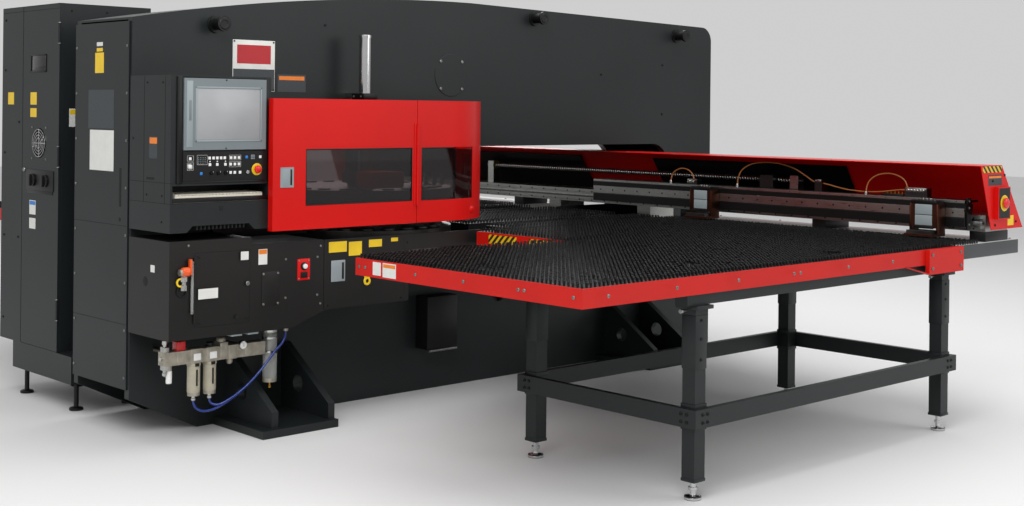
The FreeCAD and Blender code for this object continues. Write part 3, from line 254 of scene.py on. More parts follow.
# nylon bristle in bundles: dull, each strand catching a thin line of light
BRISTLE = Finish("nylon_bristle", Surface.BRISTLE, "#060707", 0.5, grain_mm=1.6, relief_mm=0.3,
                 patch_mm=90, patch=0.4, edge_mm=0.3, stretch=(1.0, 1.0, 0.1), gloss=0.35)
BEZEL = Finish("grey_abs_bezel", Surface.MOULDED, "#6f787b", 0.46, grain_mm=1.2, relief_mm=0.04, patch=0.06)
BEZEL_LIGHT = Finish("light_grey_abs", Surface.MOULDED, "#8b9598", 0.42, grain_mm=1.2, relief_mm=0.04,
                     patch=0.06, edge_mm=0.8)
BLACK_PLASTIC = Finish("black_abs", Surface.MOULDED, "#0b0c0c", 0.4, grain_mm=1.0, relief_mm=0.04,
                       patch=0.15, edge_mm=0.8, gloss=0.35)
BLACK_PANEL = Finish("black_film_panel", Surface.PRINTED, "#090a0b", 0.34, grain_mm=1.0, relief_mm=0.02,
                     patch=0.1, patch_mm=120, gloss=0.35)
# near-black and dull: seams, slots, holes, the bed under the key caps and the gauge needle; laid as a mat on
# the lower console's covers it is painted shade
SHADOW = Finish("black_seams_and_painted_shade", Surface.MOULDED, "#050505", 0.8, grain_mm=1.5, relief_mm=0.02,
                edge_mm=0.2)
STOP_RED = Finish("red_button_plastic", Surface.MOULDED, "#d31318", 0.26, grain_mm=2.0, relief_mm=0.01,
                  patch=0.05, patch_mm=30, coat=0.3, edge_mm=0.6)
YELLOW = Finish("yellow_film", Surface.PRINTED, "#e8c21a", 0.4, grain_mm=1.2, relief_mm=0.01, patch=0.06,
                patch_mm=60, edge_mm=0.3)
OLIVE = Finish("olive_bearing_paint", Surface.ENAMEL, "#6d7030", 0.45, patch=0.2, patch_mm=40)
PAPER = Finish("white_film", Surface.PRINTED, "#d8d8d4", 0.45, grain_mm=1.0, relief_mm=0.01, patch=0.04,
               patch_mm=60, edge_mm=0.3)
ORANGE = Finish("orange_film", Surface.PRINTED, "#e37a1c", 0.42, grain_mm=1.0, relief_mm=0.01, patch=0.05,
                patch_mm=40, edge_mm=0.3)
INK = Finish("dark_printed_film", Surface.PRINTED, "#2c3236", 0.4, grain_mm=1.0, relief_mm=0.01,
             patch=0.12, patch_mm=12, edge_mm=0.3)
MARK_RED = Finish("red_film", Surface.PRINTED, "#b0101c", 0.4, grain_mm=1.0, relief_mm=0.01, patch=0.05,
                  patch_mm=60, edge_mm=0.3)
BLUE_KEY = Finish("blue_key_plastic", Surface.MOULDED, "#1f78c8", 0.35, grain_mm=1.0, relief_mm=0.01,
                  patch=0.06, patch_mm=10, edge_mm=0.5)
WHITE_KEY = Finish("white_key_plastic", Surface.MOULDED, "#e2e2e0", 0.4, grain_mm=1.0, relief_mm=0.01,
                   patch=0.04, patch_mm=10, edge_mm=0.5)
IVORY = Finish("ivory_keyboard_abs", Surface.MOULDED, "#d8d3c2", 0.45, grain_mm=1.0, relief_mm=0.03,
               patch=0.05, patch_mm=60, edge_mm=0.6)
GREY_HANDLE = Finish("grey_handle_plastic", Surface.MOULDED, "#8b9396", 0.42, grain_mm=1.2, relief_mm=0.03,
                     patch=0.06, patch_mm=60, edge_mm=1.0)
LOCK_ORANGE = Finish("orange_lock_plastic", Surface.MOULDED, "#e4571a", 0.32, grain_mm=1.5, relief_mm=0.02,
                     patch=0.08, patch_mm=30, coat=0.2)
BOWL = Finish("beige_bowl_plastic", Surface.MOULDED, "#a8a28f", 0.38, grain_mm=1.5, relief_mm=0.02,
              patch=0.1, patch_mm=40, coat=0.15)
BLUE_HOSE = Finish("blue_polyurethane_hose", Surface.MOULDED, "#0f2d7c", 0.25, grain_mm=3.0,
                   relief_mm=0.02, patch=0.12, patch_mm=40, coat=0.2, edge_mm=0.3)
TAN_HOSE = Finish("tan_polyurethane_hose", Surface.MOULDED, "#a9693a", 0.3, grain_mm=3.0, relief_mm=0.02,
                  patch=0.15, patch_mm=40, coat=0.2, edge_mm=0.3)
HAZARD = Finish("yellow_black_tape", Surface.STRIPED, "#17160f", 0.42, second="#d9b21c", stripe_mm=15,
                edge_mm=0.3)
FLOOR = Finish("pale_floor", Surface.ENAMEL, "#dedede", 0.75, grain_mm=12, relief_mm=0.02, patch=0.01,
               patch_mm=3000)

CAD_FINISHES: dict[Finish, tuple[str, ...]] = {
    CHARCOAL: ("front_plate", "rear_plate", "top_deck", "end_cover", "front_feet", "rear_feet",
               "console_housing", "cabinet", "cabinet_door", "table_legs", "leg_braces"),
    BROWN_BLACK: ("lower_console", "lower_door", "side_cover"),
    SATIN_BLACK: ("frame_ties", "lifting_pins", "centre_table", "guide_beams", "table_decks"),
    RED: ("guard_fixed", "guard_door", "carriage_cover"),
    SKIRT_RED: ("table_skirts",),
    WHITE: ("plain_decks",),
    TOOL_STEEL: ("ram_cylinder", "ram", "active_punch", "upper_turret", "tool_heads", "lower_turret",
                 "jaw_front", "jaw_rear"),
    BEAM_STEEL: ("cross_beam",),
    BAR_STEEL: ("carriage_bar", "drive_screw"),
    BRONZE: ("clamp_front", "clamp_rear"),
    CAST: ("shutoff_valve", "air_unit"),
    CHROME: ("exhaust_tube",),
    SMOKED: ("fixed_window", "door_window"),
    BRISTLE: ("centre_brushes", "table_brushes"),
    BEZEL: ("console_screen",),
    BLACK_PANEL: ("control_panel",),
    STOP_RED: ("console_estop", "cap_estop"),
    WHITE_KEY: ("start_button",),
    BLACK_PLASTIC: ("selector_1", "selector_2", "selector_3", "breaker_knob_near", "breaker_knob_far",
                    "fan_rotor"),
    IVORY: ("keyboard_tray",),
    GREY_HANDLE: ("guard_handle",),
    LOCK_ORANGE: ("valve_lever",),
    BLUE_HOSE: ("drain_hoses",),
    TAN_HOSE: ("air_lines",),
}


class Stock:
    """The finishes in use, each made a material once."""

    def __init__(self) -> None:
        """Starts with no materials made."""
        self.made: dict[Finish, bpy.types.Material] = {}

    def material(self, finish: Finish) -> bpy.types.Material:
        """The material of a finish, made at its first use."""
        if finish not in self.made:
            self.made[finish] = finish.build()
        return self.made[finish]


STOCK = Stock()


# ---- shaping pieces ----

class Facing(Enum):
    """The way a turned piece's axis or a screw's head points, as the turn that brings +Z there."""

    UP = Matrix.Identity(4)
    DOWN = Matrix.Rotation(math.pi, 4, "X")
    FRONT = Matrix.Rotation(math.pi / 2, 4, "X")
    BACK = Matrix.Rotation(-math.pi / 2, 4, "X")
    LEFT = Matrix.Rotation(-math.pi / 2, 4, "Y")
    RIGHT = Matrix.Rotation(math.pi / 2, 4, "Y")


def deselect() -> None:
    """Leaves object mode with nothing selected."""
    bpy.ops.object.select_all(action="DESELECT")


def pick(piece: bpy.types.Object) -> None:
    """Makes one piece the only selected and the active one."""
    deselect()
    piece.select_set(True)
    bpy.context.view_layer.objects.active = piece


def named(piece: bpy.types.Object, name: str, angle: float = 35.0) -> bpy.types.Object:
    """Names a piece and smooths its faces up to an angle in degrees."""
    piece.name = name
    piece.data.name = name
    pick(piece)
    bpy.ops.object.shade_smooth_by_angle(angle=math.radians(angle))
    return piece


def block(name: str, x: Span, y: Span, z: Span, rounding: float = 1.0, segments: int = 2) -> bpy.types.Object:
    """A block with all its edges bevelled.

    Args:
        name: The piece's name.
        x: Its ends from the frame's left end, in millimetres.
        y: Its ends from the mid-plane.
        z: Its ends from the floor.
        rounding: The bevel's width.
        segments: The bevel's steps.

    Returns:
        The piece, with its place in its mesh.
    """
    low, high = place(x[0], y[0], z[0]), place(x[1], y[1], z[1])
    deselect()
    bpy.ops.mesh.primitive_cube_add(size=1, location=(low + high) / 2)
    piece = bpy.context.object
    piece.scale = high - low
    bpy.ops.object.transform_apply(location=True, rotation=True, scale=True)
    width = min(rounding / 1000, 0.45 * min(high - low))
    if width > 0:
        bpy.ops.object.mode_set(mode="EDIT")
        bpy.ops.mesh.select_all(action="SELECT")
        bpy.ops.mesh.bevel(offset=width, segments=segments, affect="EDGES")
        bpy.ops.object.mode_set(mode="OBJECT")
    return named(piece, name)


def turned(name: str, facing: Facing, centre: Spot, profile: Sequence[Span],
           steps: int = 28) -> bpy.types.Object:
    """A piece turned on a lathe.

    Args:
        name: The piece's name.
        facing: Where its axis points.
        centre: The point on its axis at height zero.
        profile: Radius and height pairs from one end of the outline to the other.
        steps: The steps of the turn.

    Returns:
        The piece, with its place in its mesh.
    """
    mesh = bpy.data.meshes.new(name)
    rim = [(radius / 1000, 0.0, height / 1000) for radius, height in profile]
    mesh.from_pydata(rim, [(i, i + 1) for i in range(len(rim) - 1)], [])
    piece = bpy.data.objects.new(name, mesh)
    bpy.context.collection.objects.link(piece)
    pick(piece)
    bpy.ops.object.mode_set(mode="EDIT")
    bpy.ops.mesh.select_all(action="SELECT")
    bpy.ops.mesh.spin(steps=steps, angle=2 * math.pi, center=(0, 0, 0), axis=(0, 0, 1))
    bpy.ops.mesh.select_all(action="SELECT")
    bpy.ops.mesh.remove_doubles(threshold=1e-6)
    bpy.ops.mesh.normals_make_consistent(inside=False)
    bpy.ops.object.mode_set(mode="OBJECT")
    piece.data.transform(Matrix.Translation(place(*centre)) @ facing.value)
    return named(piece, name)


def cut_sheet(name: str, corners: Sequence[Spot], thick: Spot, rounding: float = 0.4) -> bpy.types.Object:
    """A flat sheet of any outline, extruded and bevelled.

    Args:
        name: The piece's name.
        corners: The outline's points on one face, in millimetres.
        thick: The step from that face to the other one.
        rounding: The bevel's width.

    Returns:
        The piece, with its place in its mesh.
    """
    mesh = bpy.data.meshes.new(name)
    mesh.from_pydata([place(*corner) for corner in corners], [], [tuple(range(len(corners)))])
    piece = bpy.data.objects.new(name, mesh)
    bpy.context.collection.objects.link(piece)
    pick(piece)
    bpy.ops.object.mode_set(mode="EDIT")
    bpy.ops.mesh.select_all(action="SELECT")
    step = tuple(part / 1000 for part in thick)
    bpy.ops.mesh.extrude_region_move(TRANSFORM_OT_translate={"value": step})
    bpy.ops.mesh.select_all(action="SELECT")
    bpy.ops.mesh.normals_make_consistent(inside=False)
    if rounding:
        bpy.ops.mesh.bevel(offset=rounding / 1000, segments=1, affect="EDGES")
    bpy.ops.object.mode_set(mode="OBJECT")
    return named(piece, name)


def joined(name: str, pieces: Sequence[bpy.types.Object]) -> bpy.types.Object:
    """Joins several pieces into one."""
    pick(pieces[0])
    for piece in pieces:
        piece.select_set(True)
    if len(pieces) > 1:
        bpy.ops.object.join()
    pieces[0].name = name
    pieces[0].data.name = name
    return pieces[0]


def repeated(name: str, piece: bpy.types.Object, steps: Sequence[Spot]) -> bpy.types.Object:
    """Copies a piece by each step in millimetres and joins the copies, each with its own mesh."""
    copies = []
    for step in steps:
        twin = piece.copy()
        twin.data = piece.data.copy()
        twin.data.transform(Matrix.Translation(Vector(step) / 1000))
        bpy.context.collection.objects.link(twin)
        copies.append(twin)
    bpy.data.objects.remove(piece)
    return joined(name, copies)


def fixed(piece: bpy.types.Object, finish: Finish, body: str, slot: str, *replaced: str) -> bpy.types.Object:
    """Finishes a piece and mounts it on a body.

    Args:
        piece: The piece, in place.
        finish: Its finish.
        body: The CAD body that it rides on.
        slot: The record's material slot; not used.
        *replaced: CAD nodes that it stands for.

    Returns:
        The piece.
    """
    piece.data.materials.clear()
    piece.data.materials.append(STOCK.material(finish))
    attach(piece, body)
    if replaced:
        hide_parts(*replaced)
    LOG.info("%s rides on %s", piece.name, body)
    return piece


def screws(name: str, facing: Facing, spots: Sequence[Spot], radius: float, body: str,
           finish: Finish = ZINC) -> bpy.types.Object:
    """Socket-head screws with a bevelled rim, standing on a face.

    Args:
        name: The name of the set.
        facing: Where their heads point.
        spots: The centres on the face.
        radius: The head's radius.
        body: The body that they ride on.
        finish: Their finish.

    Returns:
        The joined set.
    """
    tall = radius * 0.55
    head = [(0, tall * 0.3), (radius * 0.42, tall * 0.3), (radius * 0.46, tall), (radius * 0.82, tall),
            (radius, tall * 0.7), (radius, 0), (0, 0)]
    first = turned(name, facing, spots[0], head, 12)
    steps = [tuple(b - a for a, b in zip(spots[0], spot)) for spot in spots]
    slot = "black_paint" if finish in (SATIN_BLACK, BLACK_PLASTIC) else "bright_steel"
    return fixed(repeated(name, first, steps), finish, body, slot)


def border(across: Span, up: Span, side: float, level: float) -> list[tuple[Span, Span]]:
    """The top, bottom, near and far bars round a rectangle.

    Args:
        across: The rectangle's outer ends along the face.
        up: Its outer ends from the floor.
        side: The width of the upright bars.
        level: The width of the level bars.

    Returns:
        Each bar's ends along the face and from the floor.
    """
    return [(across, (up[1] - level, up[1])), (across, (up[0], up[0] + level)),
            ((across[0], across[0] + side), up), ((across[1] - side, across[1]), up)]


# ---- studio ----

@dataclass
class Studio:
    """Floor, soft lights and the camera."""

    eye: Spot = (-5.693, -6.723, 1.66)
    heading: float = math.atan2(0.684, 0.730)
    roll: float = math.radians(0.6)
    lens: float = 49.43
    horizon_shift: float = -0.14
    sensor_width: float = 36
    view_depth: float = 100
    floor_side: float = 60
    floor_drop: float = 0.0005
    sky_strength: float = 0.62
    lamps: tuple[tuple[str, Spot, Spot, float, float], ...] = (
        ("key", (-5.5, -5.0, 6.0), (0, -0.5, 1.0), 4.5, 330),
        ("fill", (4.0, -8.5, 4.5), (0.5, -1.0, 1.0), 5.0, 150),
        ("top", (0.5, -0.8, 7.0), (0.5, -0.8, 0.0), 7.0, 260),
        ("rear", (5.0, 6.5, 4.5), (0, 0, 1.0), 5.0, 200))

    def build(self) -> None:
        """Makes the floor, the lights, the sky and the camera."""
        deselect()
        bpy.ops.mesh.primitive_plane_add(size=self.floor_side, location=(0, 0, -self.floor_drop))
        floor = bpy.context.object
        bpy.ops.object.transform_apply(location=True, rotation=True, scale=True)
        floor.name = "floor"
        floor.data.materials.append(STOCK.material(FLOOR))
        for name, at, target, size, power in self.lamps:
            self.lamp(name, Vector(at), Vector(target), size, power)
        world = bpy.data.worlds.new("studio")
        world.use_nodes = True
        sky = world.node_tree.nodes["Background"]
        sky.inputs["Color"].default_value = (1, 1, 1, 1)
        sky.inputs["Strength"].default_value = self.sky_strength
        bpy.context.scene.world = world
        bpy.context.scene.view_settings.view_transform = "Standard"
        data = bpy.data.cameras.new("camera")
        data.lens = self.lens
        data.sensor_width = self.sensor_width
        data.shift_y = self.horizon_shift
        data.clip_end = self.view_depth
        camera = bpy.data.objects.new("camera", data)
        turn = Matrix.Rotation(-self.heading, 4, "Z") @ Matrix.Rotation(math.pi / 2, 4, "X")
        camera.matrix_world = Matrix.Translation(Vector(self.eye)) @ turn @ Matrix.Rotation(self.roll, 4, "Z")
        bpy.context.collection.objects.link(camera)
        bpy.context.scene.camera = camera

    def lamp(self, name: str, at: Vector, target: Vector, size: float, power: float) -> None:
        """A square soft light aimed at a point.

        Args:
            name: The lamp's name.
            at: Where it hangs.
            target: The point that it faces.
            size: The side of its panel in metres.
            power: Its power in watts.
        """
        data = bpy.data.lights.new(name, "AREA")
        data.size = size
        data.energy = power
        lamp = bpy.data.objects.new(name, data)
        lamp.location = at
        lamp.rotation_euler = (target - at).to_track_quat("-Z", "Y").to_euler()
        bpy.context.collection.objects.link(lamp)


# ---- hoses ----

@dataclass
class Hoses:
    """Blue drain hoses under the console and tan air lines over the carriage bar."""

    drain_radius: float = 6.0
    line_radius: float = 4.0
    drain: tuple[Spot, ...] = (
        (196, -600, 209), (196, -600, 181), (236, -610, 151), (291, -620, 153), (361, -630, 179),
        (436, -640, 223), (506, -646, 277), (571, -650, 341), (631, -652, 409), (700, -652, 465),
        (700, -652, 510))
    joining: tuple[Spot, ...] = (
        (286, -600, 209), (286, -600, 187), (316, -626, 173), (366, -644, 195), (436, -655, 235),
        (506, -661, 289), (571, -665, 354), (631, -667, 421))
    lines: tuple[tuple[Spot, ...], ...] = (
        ((3640, -730, 1208.3), (3640, -732, 1233), (3646, -750, 1270), (3656, -800, 1293),
         (3664, -855, 1285), (3668, -892, 1252), (3669, -898, 1225.3)),
        ((3655, -1260, 1213.3), (3655, -1263, 1246), (3661, -1285, 1300), (3672, -1350, 1340),
         (3684, -1450, 1353), (3694, -1560, 1347), (3703, -1660, 1320), (3709, -1740, 1275),
         (3711, -1785, 1247), (3712, -1809.7, 1241)),
        ((3712, -1860.3, 1238), (3711, -1900, 1233), (3706, -1980, 1216), (3700, -2080, 1206),
         (3693, -2185, 1204), (3685, -2285, 1211), (3677, -2370, 1224), (3672, -2418, 1229),
         (3670, -2449.7, 1229)),
        ((3640, -2200, 1208.3), (3640, -2202, 1238), (3643, -2222, 1280), (3648, -2275, 1312),
         (3652, -2345, 1322), (3655, -2410, 1306), (3658, -2450, 1277), (3658, -2455, 1246)))
    drain_length: float = 0.69
    joining_length: float = 0.465
    line_lengths: tuple[float, ...] = (0.251, 0.652, 0.595, 0.354)

    def hose(self, name: str, route: Sequence[Spot], radius: float, finish: Finish, body: str, slot: str,
             node: str) -> bpy.types.Object:
        """One hose as a smooth curve through its route's control points.

        Args:
            name: The piece's name.
            route: Its control points in millimetres.
            radius: Its radius in millimetres.
            finish: Its finish.
            body: The body that holds it.
            slot: The record's material slot.
            node: The CAD node that it stands for.

        Returns:
            The curve piece.
        """
        curve = bpy.data.curves.new(name, "CURVE")
        curve.dimensions = "3D"
        curve.bevel_depth = radius / 1000
        curve.bevel_resolution = 5
        curve.resolution_u = 8
        curve.use_fill_caps = True
        spline = curve.splines.new("NURBS")
        spline.points.add(len(route) - 1)
        for point, spot in zip(spline.points, route):
            point.co = (*place(*spot), 1.0)
        spline.order_u = 3
        spline.use_endpoint_u = True
        piece = bpy.data.objects.new(name, curve)
        bpy.context.collection.objects.link(piece)
        return fixed(piece, finish, body, slot, node)

    def build(self) -> None:
        main = self.hose("drain_hose_main", self.drain, self.drain_radius, BLUE_HOSE, "frame", "hose_blue",
                         "drain_hoses")
        branch = self.hose("drain_hose_branch", self.joining, self.drain_radius, BLUE_HOSE, "frame",
                           "hose_blue", "drain_hoses")
        ring = [(6.6, -6), (9, -6), (9, 6), (6.6, 6), (6.6, -6)]
        clip = turned("hose_clip", Facing.UP, (631, -667, 412), ring, 16)
        fixed(clip, BLACK_PLASTIC, "frame", "knob_black")
        for index, (route, length) in enumerate(zip(self.lines, self.line_lengths), start=1):
            line = self.hose(f"air_line_{index}", route, self.line_radius, TAN_HOSE, "carriage", "hose_tan",
                             "air_lines")


# ---- frame ----

FIELD_SLOTS = {PAPER: "button_white", ORANGE: "lockout_orange"}


@dataclass
class Labels:
    """Plain colour fields where a machine carries plates and stickers."""

    thick: float = 0.6

    def face(self, name: str, facing: Facing, across: Span, up: Span, at: float, finish: Finish, body: str,
             lift: float = 0.0) -> bpy.types.Object:
        """A thin field on an upright face.

        Args:
            name: The piece's name.
            facing: FRONT or LEFT, where the field looks.
            across: Its ends along x for FRONT, or y for LEFT.
            up: Its ends from the floor.
            at: The face's place along the other axis.
            finish: Its finish.
            body: The body that it rides on.
            lift: How far it stands off the face.

        Returns:
            The mounted field.
        """
        depth = (at - lift - self.thick, at - lift + 0.05)
        if facing is Facing.FRONT:
            piece = block(name, across, depth, up, 0.25, 1)
        else:
            piece = block(name, depth, across, up, 0.25, 1)
        return fixed(piece, finish, body, FIELD_SLOTS.get(finish, "panel_black"))

    def card(self, name: str, facing: Facing, across: Span, up: Span, at: float, body: str,
             head: Finish = ORANGE, sheet: Finish = PAPER) -> None:
        """A plain two-colour plate: a coloured head over a bare field.

        Args:
            name: The piece's name.
            facing: Where it looks.
            across: Its ends along the face.
            up: Its ends from the floor.
            at: The face's place.
            body: The body that it rides on.
            head: The head's finish.
            sheet: The card's own finish.
        """
        self.face(f"{name}_card", facing, across, up, at, sheet, body)
        rim = (across[1] - across[0]) * 0.05
        inner = (across[0] + rim, across[1] - rim)
        top = (up[1] - 0.32 * (up[1] - up[0]), up[1] - rim)
        self.face(f"{name}_head", facing, inner, top, at, head, body, self.thick)


@dataclass
class BridgeFrame:
    """Seams, screws, plates and small covers on the bridge frame."""

    labels: Labels
    body: str = "frame"
    cover_disc: Spot = (2105, 1863, 128)
    screw_inset: float = 16
    screw_rows: int = 8
    row_pitch: float = 238
    pins: tuple[Span, ...] = ((479, 2090), (2796, 2238), (4182, 2187))
    tube: Span = (1345, -450)
    end_fields: tuple[tuple[str, Span, Span, Finish], ...] = (
        ("end_yellow_field", (-15, 80), (1827, 1932), YELLOW),
        ("end_small_yellow", (-2, 64), (1938, 1956), YELLOW),
        ("end_small_white", (-2, 64), (1966, 1986), PAPER),
        ("end_data_plate", (-130, 150), (1542, 1740), INK),
        ("end_white_plate", (-130, 130), (1325, 1533), PAPER))

    def build(self) -> None:
        """Builds the end cover's fittings, then the front plate's."""
        self.end_cover()
        self.front_plate()
        self.below_table()
        self.pins_and_tube()

    def end_cover(self) -> None:
        """Screws, seams and plates on the narrow end of the frame."""
        low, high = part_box("end_cover")
        edges = (low.y * 1000 + self.screw_inset, high.y * 1000 - self.screw_inset)
        rows = [low.z * 1000 + 60 + self.row_pitch * row for row in range(self.screw_rows)]
        screws("end_cover_screws", Facing.LEFT, [(0, y, z) for y in edges for z in rows], 7, self.body)
        across = (low.y * 1000 + 2, high.y * 1000 - 2)
        seam = [block("seam", (-0.5, 0.4), across, (z, z + 3), 0.1, 1) for z in (1054, 560)]
        slot = block("slot", (-0.6, 0.4), (-214, -190), (1150, 1345), 3, 2)
        keyhole = turned("keyhole", Facing.LEFT, (0, -200, 1085), [(0, 1), (9, 1), (11, 0.4), (11, 0)], 20)
        fixed(joined("end_cover_seams", [*seam, slot, keyhole]), SHADOW, self.body, "panel_black")
        for name, across, up, finish in self.end_fields:
            self.labels.face(name, Facing.LEFT, across, up, 0, finish, self.body)

    def front_plate(self) -> None:
        """Poster plate, card and round access cover on the front plate."""
        thick = (FRONT - 2, FRONT)
        fixed(block("poster_plate", (586, 849), thick, (1743, 2016), 1.2), PAPER, self.body, "button_white")
        at = FRONT - 2
        self.labels.face("poster_dark", Facing.FRONT, (589, 846), (1746, 1862), at, INK, self.body)
        self.labels.face("poster_red", Facing.FRONT, (612, 823), (1890, 1990), at, MARK_RED, self.body)
        screws("poster_screws", Facing.FRONT, [(x, at, z) for x in (595, 840) for z in (1752, 2008)], 5,
               self.body, SATIN_BLACK)
        self.labels.card("plate_card", Facing.FRONT, (869, 1052), (1743, 1838), FRONT, self.body, ORANGE, INK)
        x, z, radius = self.cover_disc
        disc = turned("access_cover", Facing.FRONT, (x, FRONT, z),
                      [(0, 3), (radius - 2, 3), (radius, 1.5), (radius, 0)], 64)
        fixed(disc, CHARCOAL, self.body, "charcoal")
        spots = [(x + 84 * a, FRONT - 3, z + 82 * b) for a in (-1, 1) for b in (-1, 1)]
        screws("access_cover_screws", Facing.FRONT, spots, 9, self.body)
        tapped = [(4040, FRONT, 1980), (4040, FRONT, 1640), (1180, FRONT, 2120), (3420, FRONT, 1900)]
        screws("plate_plugs", Facing.FRONT, tapped, 8, self.body, SATIN_BLACK)

    def below_table(self) -> None:
        """Scrap box, its light lip, and brackets low on the front plate."""
        y = (FRONT - 110, FRONT)
        box = block("scrap_box", (1850, 2080), y, (250, 560), 3)
        lip = block("scrap_box_lip", (1860, 2075), (FRONT - 118, FRONT - 96), (238, 250), 2)
        brackets = [cut_sheet("bracket", [(x, FRONT, 470), (x, FRONT, 696), (x, FRONT - 210, 696),
                                          (x, FRONT - 210, 640)], (26, 0, 0), 1) for x in (2500, 3080, 3620)]
        fixed(joined("low_brackets", [box, *brackets]), SATIN_BLACK, self.body, "black_paint")
        fixed(lip, ZINC, self.body, "bright_steel")
        conduit = block("cable_tray", (1500, 1845), (FRONT - 60, FRONT), (640, 700), 4)
        fixed(conduit, SATIN_BLACK, self.body, "black_paint")
        spots = [(x, FRONT - 210, 668) for x in (2513, 3093, 3633)]
        screws("bracket_bolts", Facing.FRONT, spots, 12, self.body)

    def pins_and_tube(self) -> None:
        """Faced ends on the lifting pins, and the band and nut on the exhaust tube."""
        for index, (x, z) in enumerate(self.pins):
            rim = [(0, 0.5), (17, 0.5), (19, 2.5), (28, 2.5), (31.5, 0), (31.5, -14), (30, -14)]
            fixed(turned(f"pin_face_{index}", Facing.FRONT, (x, FRONT - 95, z), rim), SATIN_BLACK, self.body,
                  "black_paint")
            flange = [(30, 9), (42, 9), (46, 6), (46, 0), (30, 0)]
            fixed(turned(f"pin_flange_{index}", Facing.FRONT, (x, FRONT, z), flange, 36), SATIN_BLACK,
                  self.body, "black_paint")
        band = [(32, -16), (35, -16), (35, 0), (33, 1.5), (20, 2.2), (0, 2.2)]
        fixed(turned("tube_cap", Facing.UP, (*self.tube, 2065), band, 36), CHROME, self.body, "chrome")
        clamp = block("tube_clamp", (1296, 1394), (FRONT - 205, FRONT - 96), (1706, 1742), 4)
        fixed(clamp, SATIN_BLACK, self.body, "black_paint")
        screws("tube_clamp_bolts", Facing.LEFT, [(1296, -480, 1724), (1296, -415, 1724)], 6, self.body)


